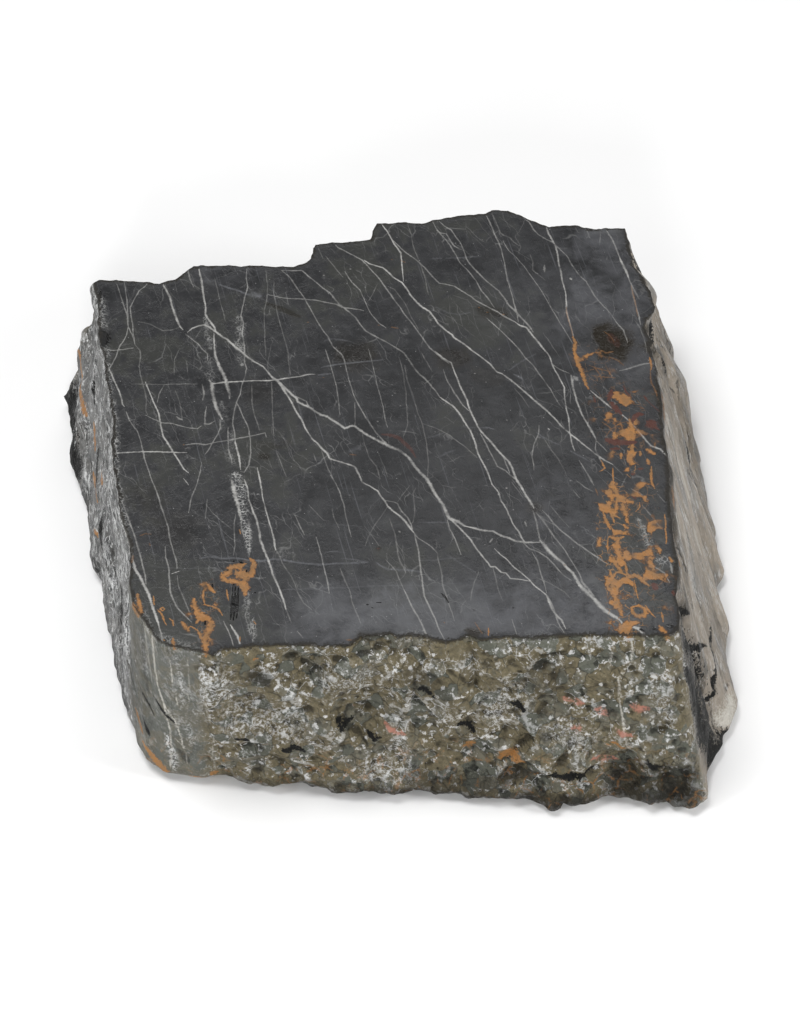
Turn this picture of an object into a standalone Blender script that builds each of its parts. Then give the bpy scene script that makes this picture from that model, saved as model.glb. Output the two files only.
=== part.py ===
"""A block of dark veined marble: a sawn flat top, split sides and a flat foot.

Run it with blender --background --python part.py, or from the Text Editor.

Lengths are in metres and +Z is up. The origin is on the floor under the middle of the block.
+X runs along the front face to the right, and +Y from the front face to the back. The stone is
one solid. Its wall is a loft from the outline of the sawn top down to the skirt, the widest line
round the block, and then in again to the edge of the foot. Slabs that broke off at different
depths, chips, long shears, a few bites and two cracks give the wall its relief.
"""

from typing import NamedTuple

import bmesh
import bpy
import numpy as np

MM = 0.001

# Driving dimensions.
HEIGHT = 170 * MM  # foot to sawn top
SKIRT_HEIGHT = 13 * MM  # the widest line round the block, above the floor
FOOT_INSET = 12 * MM  # how far the foot's edge lies inside the skirt
COLUMN_GAP = 10.0 * MM  # the widest spacing of the wall's columns
ROW_GAP = 9.5 * MM  # the widest spacing of the wall's rows
SEAT = (0.0, -1.0)  # mm, moves the outlines so that the block is centred on the origin

# Outline of the sawn top, side by side, anticlockwise from the front left corner, in mm.
CORNER_TOP = [
    (-219, -176), (-216, -192), (-211, -202), (-193, -232), (-185, -238), (-156, -245),
]  # fmt: skip
FRONT_TOP = [
    (-156, -245), (-145, -250), (-137, -243), (-109, -240),
    (-76, -239), (-41, -240), (-28, -238), (-22, -230), (-11, -228), (2, -227), (9, -232),
    (19, -228), (29, -229), (38, -232), (49, -236), (63, -231), (69, -227), (76, -233),
    (108, -231), (141, -229), (172, -228), (204, -229), (239, -227), (246, -221),
]  # fmt: skip
RIGHT_TOP = [
    (246, -221), (248, -208), (246, -185), (249, -155), (248, -108), (246, -76), (248, -36),
    (245, 5), (245, 38), (242, 65), (244, 73), (240, 95), (238, 103), (242, 109), (237, 120),
    (235, 127), (238, 137), (245, 146), (247, 152), (244, 172), (235, 192), (227, 205),
    (225, 239), (222, 255),
]  # fmt: skip
BACK_TOP = [
    (222, 255), (186, 257), (177, 260), (151, 258), (132, 269), (113, 279), (97, 280),
    (91, 276), (69, 272), (43, 267), (33, 263), (-12, 263), (-15, 258), (-19, 241), (-38, 237),
    (-69, 234), (-71, 229), (-72, 215), (-80, 208), (-88, 205), (-181, 207), (-188, 200),
    (-197, 189), (-211, 185), (-267, 188), (-272, 184),
]  # fmt: skip
LEFT_TOP = [
    (-272, 184), (-267, 155), (-266, 132), (-263, 110), (-257, 89), (-253, 61), (-248, 34),
    (-244, 7), (-244, -13), (-242, -36), (-237, -66), (-233, -92), (-222, -130),
    (-219, -176),
]  # fmt: skip

# Outline of the skirt, side by side, in mm.
CORNER_SKIRT = [
    (-221, -221), (-210, -242), (-193, -255), (-154, -262),
]  # fmt: skip
FRONT_SKIRT = [
    (-154, -262), (-119, -268), (-84, -267), (-50, -272), (2, -275), (37, -278),
    (89, -282), (123, -283), (158, -289), (192, -284), (227, -291), (244, -283), (261, -288),
    (275, -280),
]  # fmt: skip
RIGHT_SKIRT = [
    (275, -280), (280, -254), (295, -226), (305, -197), (306, -177), (303, -138), (307, -87),
    (306, -53), (300, 12), (295, 67), (295, 104), (293, 129), (289, 181), (282, 220),
    (264, 253),
]  # fmt: skip
BACK_SKIRT = [
    (264, 253), (236, 264), (182, 270), (128, 281), (88, 284), (44, 279), (0, 274),
    (-22, 254), (-66, 246), (-84, 226), (-132, 216), (-190, 213), (-222, 196), (-268, 197),
    (-308, 182),
]  # fmt: skip
LEFT_SKIRT = [
    (-308, 182), (-307, 168), (-305, 150), (-300, 126), (-289, 79), (-283, 55), (-274, 6),
    (-264, -41), (-252, -87), (-244, -110), (-244, -133), (-234, -177), (-229, -199),
    (-221, -221),
]  # fmt: skip


class Side(NamedTuple):
    """One side of the wall. Lengths are in mm."""

    top: list  # its stretch of the sawn top's outline
    skirt: list  # its stretch of the skirt's outline
    swell: float  # how far the wall bulges halfway along the side and halfway up
    flare: float  # 1 runs straight from top to skirt, more stays steep above and flares below
    slabs: float  # depth of the broken slabs
    chips: float  # depth of the chips
    shears: float  # depth of the long shears


SIDES = [
    Side(CORNER_TOP, CORNER_SKIRT, 0.0, 1.0, 1.0, 0.8, 0.0),
    Side(FRONT_TOP, FRONT_SKIRT, 2.0, 1.0, 8.0, 7.5, 0.0),
    Side(RIGHT_TOP, RIGHT_SKIRT, -4.0, 0.95, 2.0, 1.0, 15.0),
    Side(BACK_TOP, BACK_SKIRT, 2.0, 1.1, 15.0, 5.0, 4.0),
    Side(LEFT_TOP, LEFT_SKIRT, 2.0, 1.5, 3.0, 2.8, 7.0),
]

SLAB_CELL = 52 * MM  # usual width of a broken slab
CHIP_CELL = 24 * MM  # usual width of a chip
SHEAR_CELL = 36 * MM  # usual width of a shear, across its run
SHEAR_RUN = (0.22, -0.68, -0.70)  # the way the shears run
SHEAR_STRETCH = 4.5  # a shear's length over its width
SLAB_TILT = 0.9  # how much a slab leans, against its depth
SLAB_WANDER = 0.7  # how far the slabs' edges wander, against their width
SHEAR_WANDER = 0.2  # the same for the shears, whose edges are straighter
STEP_REACH = 5 * MM  # how far a step between slabs is spread
NORMAL_REACH = 14 * MM  # the outline is smoothed over this length to find which way is out
EDGE_FADE = 16 * MM  # the relief fades out over this height towards the sawn top
EDGE_SHARE = 0.12  # the share of the relief that is left at the sawn edge
BLEND_COLUMNS = 3  # columns over which one side's relief turns into the next side's

# Bites out of the wall: (x, y, z, radius, depth) in mm. They are deepest under their upper rim.
BITES = [
    (-72, -252, 140, 30, 9),
    (-19, -258, 100, 32, 11),
    (8, -240, 160, 22, 7),
    (-118, -252, 96, 24, 7),
    (63, -262, 44, 34, 10),
    (146, -262, 104, 30, 8),
    (200, -276, 30, 34, 11),
    (118, -272, 26, 26, 9),
    (-290, 96, 52, 20, 9),
    (-296, 140, 36, 18, 9),
    (-284, 44, 40, 16, 7),
    (-236, 196, 92, 40, 12),
    (246, 244, 128, 48, 12),
    (266, 188, 98, 56, 13),
    (150, 272, 70, 52, 13),
    (-120, 214, 110, 36, 9),
]

# Open cracks in the wall: (start, end, half width, depth) in mm.
CRACKS = [
    ((251, -186, 165), (294, -214, 22), 15, 12),
    ((272, -148, 118), (290, -190, 52), 9, 6),
]


def hashed(cells, seed):
    """One number from 0 to 1 for each lattice cell, the same on every run."""
    places = cells.astype(np.int64).astype(np.uint64)
    key = places[:, 0] * np.uint64(73856093)
    key ^= places[:, 1] * np.uint64(19349663)
    key ^= places[:, 2] * np.uint64(83492791)
    key ^= np.uint64(seed * 2654435761 % 2**32)
    key = (key ^ (key >> np.uint64(13))) * np.uint64(1274126177)
    key = (key ^ (key >> np.uint64(16))) & np.uint64(0xFFFFFF)
    return key.astype(float) / 0xFFFFFF


def hashed_vectors(cells, seed):
    """Three such numbers for each lattice cell."""
    return np.stack([hashed(cells, seed + axis) for axis in range(3)], 1)


def drift(points, reach, seed):
    """A smooth wandering vector, each part from -0.5 to 0.5, that changes over the reach."""
    scaled = points / reach
    home = np.floor(scaled)
    share = scaled - home
    share = share * share * (3 - 2 * share)
    total = np.zeros_like(points)
    for step in np.ndindex(2, 2, 2):
        corner = np.array(step)
        weight = np.prod(np.where(corner, share, 1 - share), axis=1)
        total += weight[:, None] * (hashed_vectors(home + corner, seed) - 0.5)
    return total


def chips(points, cell, seed):
    """Hollows packed side by side: 0 in the middle of a hollow and 1 on a ridge.

    Each cell of a lattice has one bowl at a random place. A point takes the lowest of the
    bowls round it, so neighbouring hollows meet in a sharp ridge.
    """
    scaled = points / cell
    home = np.floor(scaled)
    lowest = np.full(len(points), np.inf)
    for step in np.ndindex(3, 3, 3):
        cells = home + (np.array(step) - 1)
        middle = cells + hashed_vectors(cells, seed)
        rise = ((scaled - middle) ** 2).sum(1) + 0.35 * hashed(cells, seed + 3)
        lowest = np.minimum(lowest, rise)
    return np.clip(lowest, 0.0, 1.0)


def slabs(points, cell, wander, seed):
    """Broken slabs side by side, each flat, at its own depth and lean: about -0.5 to 0.5.

    A point belongs to the nearest of the slabs' middles, so a steep step runs along each border.
    """
    scaled = points / cell + wander * drift(points, cell * 0.8, seed + 50)
    home = np.floor(scaled)
    total = np.zeros(len(points))
    weights = np.full(len(points), 1e-12)
    for step in np.ndindex(3, 3, 3):
        cells = home + (np.array(step) - 1)
        away = scaled - cells - hashed_vectors(cells, seed)
        lean = hashed_vectors(cells, seed + 7) - 0.5
        level = hashed(cells, seed + 3) - 0.5 + SLAB_TILT * (away * lean).sum(1)
        weight = np.exp(-cell / STEP_REACH * (away**2).sum(1))
        total += weight * level
        weights += weight
    return total / weights


def along_shears(points):
    """The points with space squeezed along the shears, so that round forms become long ones."""
    run = np.array(SHEAR_RUN) / np.linalg.norm(SHEAR_RUN)
    along = points @ run
    return points - np.outer(along * (1 - 1 / SHEAR_STRETCH), run)


def arc_shares(outline):
    """How far along an outline each of its points is, from 0 to 1."""
    steps = np.linalg.norm(np.diff(outline, axis=0), axis=1)
    run = np.concatenate([[0.0], np.cumsum(steps)])
    return run / run[-1]


def at_shares(outline, shares):
    """The points at these shares of an outline's length."""
    own = arc_shares(outline)
    return np.stack([np.interp(shares, own, outline[:, axis]) for axis in range(2)], 1)


def column_shares(outline):
    """Shares at the outline's own points, with more between them where the gap is wide."""
    own = arc_shares(outline)
    gaps = np.linalg.norm(np.diff(outline, axis=0), axis=1)
    counts = np.maximum(1, np.ceil(gaps / COLUMN_GAP).astype(int))
    pieces = [
        np.linspace(own[i], own[i + 1], counts[i], endpoint=False) for i in range(len(gaps))
    ]
    return np.concatenate(pieces)


def columns():
    """Top point, skirt point, and swell, flare and relief depths of every column."""
    tops, skirts, forms = [], [], []
    for side in SIDES:
        top = (np.array(side.top, float) + SEAT) * MM
        skirt = (np.array(side.skirt, float) + SEAT) * MM
        shares = column_shares(top)
        tops.append(at_shares(top, shares))
        skirts.append(at_shares(skirt, shares))
        swell = np.sin(np.pi * shares) * side.swell * MM
        depths = np.array([side.slabs, side.chips, side.shears]) * MM
        fixed = np.tile([side.flare, *depths], (len(shares), 1))
        forms.append(np.hstack([swell[:, None], fixed]))
    forms = np.concatenate(forms)
    for _ in range(BLEND_COLUMNS):
        forms = (np.roll(forms, 1, 0) + forms + np.roll(forms, -1, 0)) / 3
    return np.concatenate(tops), np.concatenate(skirts), forms


def outward(ring):
    """The level direction that points out of the block at each point of a closed ring."""
    along = (np.roll(ring, -1, 0) - np.roll(ring, 1, 0)) / 2
    normal = np.stack([along[:, 1], -along[:, 0]], 1)
    places = np.concatenate([[0.0], np.cumsum(np.linalg.norm(np.diff(ring, axis=0), axis=1))])
    length = places[-1] + np.linalg.norm(ring[0] - ring[-1])
    gap = np.abs(places[:, None] - places[None, :])
    gap = np.minimum(gap, length - gap)
    smooth = np.exp(-((gap / NORMAL_REACH) ** 2)) @ normal
    return smooth / np.linalg.norm(smooth, axis=1, keepdims=True)


def row_heights():
    """Heights of the wall's rows, from the sawn top down to the foot."""
    count = int(np.ceil((HEIGHT - SKIRT_HEIGHT) / ROW_GAP)) + 1
    wall = np.linspace(HEIGHT, SKIRT_HEIGHT, count)
    return np.concatenate([wall, [SKIRT_HEIGHT * 0.4, 0.0]])


def bite_depth(points):
    """How deep the bites are at each point."""
    deepest = np.zeros(len(points))
    for x, y, z, radius, depth in BITES:
        middle = np.array([x + SEAT[0], y + SEAT[1], z]) * MM
        away = (points - middle) / (radius * MM)
        hollow = np.clip(1 - (away**2).sum(1), 0, 1) * (1 + 0.6 * away[:, 2])
        deepest = np.maximum(deepest, depth * MM * hollow)
    return deepest


def crack_depth(points):
    """How deep the cracks are at each point: a V across each crack's line."""
    deepest = np.zeros(len(points))
    for start, end, half_width, depth in CRACKS:
        start = (np.array(start, float) + [*SEAT, 0]) * MM
        line = (np.array(end, float) + [*SEAT, 0]) * MM - start
        share = np.clip((points - start) @ line / (line @ line), 0, 1)
        away = np.linalg.norm(points - start - np.outer(share, line), axis=1)
        deepest = np.maximum(deepest, depth * MM * np.clip(1 - away / (half_width * MM), 0, 1))
    return deepest


def relief(points, forms):
    """How far out each point of the wall stands, in metres, from what broke off it."""
    slab_depth, chip_depth, shear_depth = forms[:, 2], forms[:, 3], forms[:, 4]
    return (
        slab_depth * slabs(points, SLAB_CELL, SLAB_WANDER, 11)
        + chip_depth * (chips(points, CHIP_CELL, 23) - 0.45)
        + shear_depth * slabs(along_shears(points), SHEAR_CELL, SHEAR_WANDER, 37)
        - bite_depth(points)
        - crack_depth(points)
    )


def wall_points():
    """The wall as rows of points, each row a closed ring, from the top down."""
    top, skirt, forms = columns()
    swell, flare = forms[:, 0], forms[:, 1]
    rows = []
    for height in row_heights():
        drop = min(1.0, (HEIGHT - height) / (HEIGHT - SKIRT_HEIGHT))
        ring = top + (skirt - top) * (drop**flare)[:, None]
        out = outward(ring)
        inset = FOOT_INSET * (1 - height / SKIRT_HEIGHT) ** 2 if height < SKIRT_HEIGHT else 0.0
        level = np.full((len(ring), 1), height)
        fade = EDGE_SHARE + (1 - EDGE_SHARE) * min(1.0, (HEIGHT - height) / EDGE_FADE)
        push = relief(np.hstack([ring, level]), forms) * fade
        push += swell * np.sin(np.pi * drop) - inset
        rows.append(np.hstack([ring + out * push[:, None], level]))
    return np.array(rows)


def stone_material():
    """Dark grey honed marble."""
    material = bpy.data.materials.new("marble")
    material.use_nodes = True
    shader = material.node_tree.nodes["Principled BSDF"]
    shader.inputs["Base Color"].default_value = (0.062, 0.061, 0.060, 1.0)
    shader.inputs["Roughness"].default_value = 0.45
    shader.inputs["Metallic"].default_value = 0.0
    return material


def build_block():
    """The stone as one closed mesh: bridged rings for the wall, one face each for top and foot."""
    rows = wall_points()
    mesh = bmesh.new()
    rings = [[mesh.verts.new(point) for point in row] for row in rows]
    count = len(rings[0])
    for upper, lower in zip(rings, rings[1:]):
        for i in range(count):
            after = (i + 1) % count
            mesh.faces.new((upper[i], lower[i], lower[after], upper[after]))
    mesh.faces.new(rings[0])
    mesh.faces.new(reversed(rings[-1]))
    mesh.normal_update()
    bmesh.ops.triangulate(mesh, faces=mesh.faces[:], quad_method="SHORT_EDGE", ngon_method="EAR_CLIP")
    data = bpy.data.meshes.new("marble_block")
    mesh.to_mesh(data)
    mesh.free()
    block = bpy.data.objects.new("marble_block", data)
    bpy.context.scene.collection.objects.link(block)
    data.materials.append(stone_material())
    return block


def main():
    """Clears the scene and builds the block."""
    for old in list(bpy.data.objects):
        bpy.data.objects.remove(old)
    build_block()


main()
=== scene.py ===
"""The marble block, dressed: a sawn top with its veins and stains, split sides and a flat foot.

The stone is one piece. The top is a flat sheet of triangles drawn through the middle and the
borders of every streak, so that the sheet itself carries how deep in a streak each point is. The
sides are a fine grid between the outline of the top and that of the skirt, moved in and out by
slabs, chips, shears, bites and cracks. Lengths are in metres and +Z is up, and the rows of
numbers below are in millimetres.
"""

import logging
from dataclasses import dataclass, field
from enum import Enum, IntEnum
from typing import Any, NamedTuple

import bpy
import numpy as np
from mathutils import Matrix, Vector
from mathutils.geometry import delaunay_2d_cdt


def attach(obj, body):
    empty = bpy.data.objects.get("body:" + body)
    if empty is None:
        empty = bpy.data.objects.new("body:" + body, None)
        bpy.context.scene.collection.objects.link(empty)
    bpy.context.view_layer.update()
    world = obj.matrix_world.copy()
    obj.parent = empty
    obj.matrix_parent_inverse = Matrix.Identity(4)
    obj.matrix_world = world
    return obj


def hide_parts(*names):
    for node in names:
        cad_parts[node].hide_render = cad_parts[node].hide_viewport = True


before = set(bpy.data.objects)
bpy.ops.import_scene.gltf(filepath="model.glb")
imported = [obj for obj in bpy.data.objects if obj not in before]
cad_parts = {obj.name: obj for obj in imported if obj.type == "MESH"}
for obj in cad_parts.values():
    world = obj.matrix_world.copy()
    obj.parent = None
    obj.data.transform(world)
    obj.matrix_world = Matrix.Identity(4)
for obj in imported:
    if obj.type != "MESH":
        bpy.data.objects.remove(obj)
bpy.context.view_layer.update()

MM = 0.001
Array = np.ndarray
Colour = tuple[float, float, float]
Path = list[tuple[float, float]]
LOG = logging.getLogger("marble_block")


class Mark(Enum):
    """What a streak in or on the stone is, by the name of its attribute."""

    CALCITE = "calcite"
    SCUFF = "scuff"
    # Pale haze on the top, partly painted sheen where the honed top would reflect the lamps.
    HAZE = "haze"
    RUST = "rust"
    NET = "net"
    MAROON = "maroon"
    # Black pits and marks, and painted shade: black along the undercut foot, in the wall's groove and under
    # ledges.
    PITCH = "pitch"
    # Dark stains, and painted shade: dark bands along the wall's foot and in the groove by the front-right
    # corner.
    SMUDGE = "smudge"
    CRUSH = "crush"
    CHALK = "chalk"


class Face(Enum):
    """Where a streak is drawn: the two axes its points are given on."""

    TOP = (0, 1)
    FRONT = (0, 2)
    SIDE = (1, 2)


class Way(IntEnum):
    """Which way a side of the stone looks, in order round it."""

    CORNER = 0
    FRONT = 1
    RIGHT = 2
    BACK = 3
    LEFT = 4


class Streak(NamedTuple):
    """One streak: its points with its half width there, in metres, and how strongly it shows."""

    line: Array
    strength: float


STRENGTHS = {"B": 1.0, "M": 0.52, "F": 0.27}  # bold, middling and faint streaks
SOFT_BORDER = 2.0  # how far a streak's border line lies out, against its half width
SEAT = (0.0, -1.0)  # moves the outlines so that the stone is centred on the origin
SHEAR_RUN = (0.22, -0.68, -0.70)  # the way the shears run
SHEAR_STRETCH = 4.5  # a shear's length over its width
SHEAR_WANDER = 0.2  # how far the borders of the shears wander, against their width
SLAB_WANDER = 0.7  # the same for the slabs
SLAB_TILT = 0.9  # how much a slab leans, against its depth
STEP_REACH = 1.3 * MM  # how far a step between slabs is spread
CHIP_MEAN = 0.45  # the height that chips have on average, from hollow to ridge
SOLE_ROWS = (0.75, 0.45, 0.2, 0.0)  # heights of the rows under the skirt, against the skirt's own

# How the stone's surface is laid out flat, in metres: the top at full size in one corner, the wall
# in strips beside and above it, and the foot, small, above those.
MAP_SIDE = 0.890  # the whole map
MAP_MARGIN = 0.004
MAP_COLUMN = 0.532  # where the upright strips start
MAP_ROW = 0.540  # where the level strip starts
MAP_STRIP = 0.176  # from one strip to the next
MAP_WALL = 0.86  # the wall's scale
MAP_FOOT = 0.26  # the foot's scale

# The outlines of the sawn top and of the skirt, side by side, anticlockwise.
CORNER_TOP: Path = [
    (-219, -176), (-216, -192), (-211, -202), (-193, -232), (-185, -238), (-156, -245),
]  # fmt: skip
CORNER_SKIRT: Path = [
    (-221, -221), (-210, -242), (-193, -255), (-154, -262),
]  # fmt: skip
FRONT_TOP: Path = [
    (-156, -245), (-145, -250), (-137, -243), (-109, -240),
    (-76, -239), (-41, -240), (-28, -238), (-22, -230), (-11, -228), (2, -227), (9, -232),
    (19, -228), (29, -229), (38, -232), (49, -236), (63, -231), (69, -227), (76, -233),
    (108, -231), (141, -229), (172, -228), (204, -229), (239, -227), (246, -221),
]  # fmt: skip
FRONT_SKIRT: Path = [
    (-154, -262), (-119, -268), (-84, -267), (-50, -272), (2, -275), (37, -278),
    (89, -282), (123, -283), (158, -289), (192, -284), (227, -291), (244, -283), (261, -288),
    (275, -280),
]  # fmt: skip
RIGHT_TOP: Path = [
    (246, -221), (248, -208), (246, -185), (249, -155), (248, -108), (246, -76), (248, -36),
    (245, 5), (245, 38), (242, 65), (244, 73), (240, 95), (238, 103), (242, 109), (237, 120),
    (235, 127), (238, 137), (245, 146), (247, 152), (244, 172), (235, 192), (227, 205),
    (225, 239), (222, 255),
]  # fmt: skip
RIGHT_SKIRT: Path = [
    (275, -280), (280, -254), (295, -226), (305, -197), (306, -177), (303, -138), (307, -87),
    (306, -53), (300, 12), (295, 67), (295, 104), (293, 129), (289, 181), (282, 220),
    (264, 253),
]  # fmt: skip
BACK_TOP: Path = [
    (222, 255), (186, 257), (177, 260), (151, 258), (132, 269), (113, 279), (97, 280),
    (91, 276), (69, 272), (43, 267), (33, 263), (-12, 263), (-15, 258), (-19, 241), (-38, 237),
    (-69, 234), (-71, 229), (-72, 215), (-80, 208), (-88, 205), (-181, 207), (-188, 200),
    (-197, 189), (-211, 185), (-267, 188), (-272, 184),
]  # fmt: skip
BACK_SKIRT: Path = [
    (264, 253), (236, 264), (182, 270), (128, 281), (88, 284), (44, 279), (0, 274),
    (-22, 254), (-66, 246), (-84, 226), (-132, 216), (-190, 213), (-222, 196), (-268, 197),
    (-308, 182),
]  # fmt: skip
LEFT_TOP: Path = [
    (-272, 184), (-267, 155), (-266, 132), (-263, 110), (-257, 89), (-253, 61), (-248, 34),
    (-244, 7), (-244, -13), (-242, -36), (-237, -66), (-233, -92), (-222, -130),
    (-219, -176),
]  # fmt: skip
LEFT_SKIRT: Path = [
    (-308, 182), (-307, 168), (-305, 150), (-300, 126), (-289, 79), (-283, 55), (-274, 6),
    (-264, -41), (-252, -87), (-244, -110), (-244, -133), (-234, -177), (-229, -199),
    (-221, -221),
]  # fmt: skip
# Bites out of the wall: across, back, up, radius and depth.
BITES = [
    (-72, -252, 140, 30, 9),
    (-19, -258, 100, 32, 11),
    (8, -240, 160, 22, 7),
    (-118, -252, 96, 24, 7),
    (63, -262, 44, 34, 10),
    (146, -262, 104, 30, 8),
    (200, -276, 30, 34, 11),
    (118, -272, 26, 26, 9),
    (-290, 96, 52, 20, 9),
    (-296, 140, 36, 18, 9),
    (-284, 44, 40, 16, 7),
    (-236, 196, 92, 40, 12),
    (246, 244, 128, 48, 12),
    (266, 188, 98, 56, 13),
    (150, 272, 70, 52, 13),
    (-120, 214, 110, 36, 9),
]
# Cracks in the wall: both ends, half width and depth.
CRACKS = [
    ((251, -186, 165), (294, -214, 22), 15, 12),
    ((272, -148, 118), (290, -190, 52), 9, 6),
]


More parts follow.
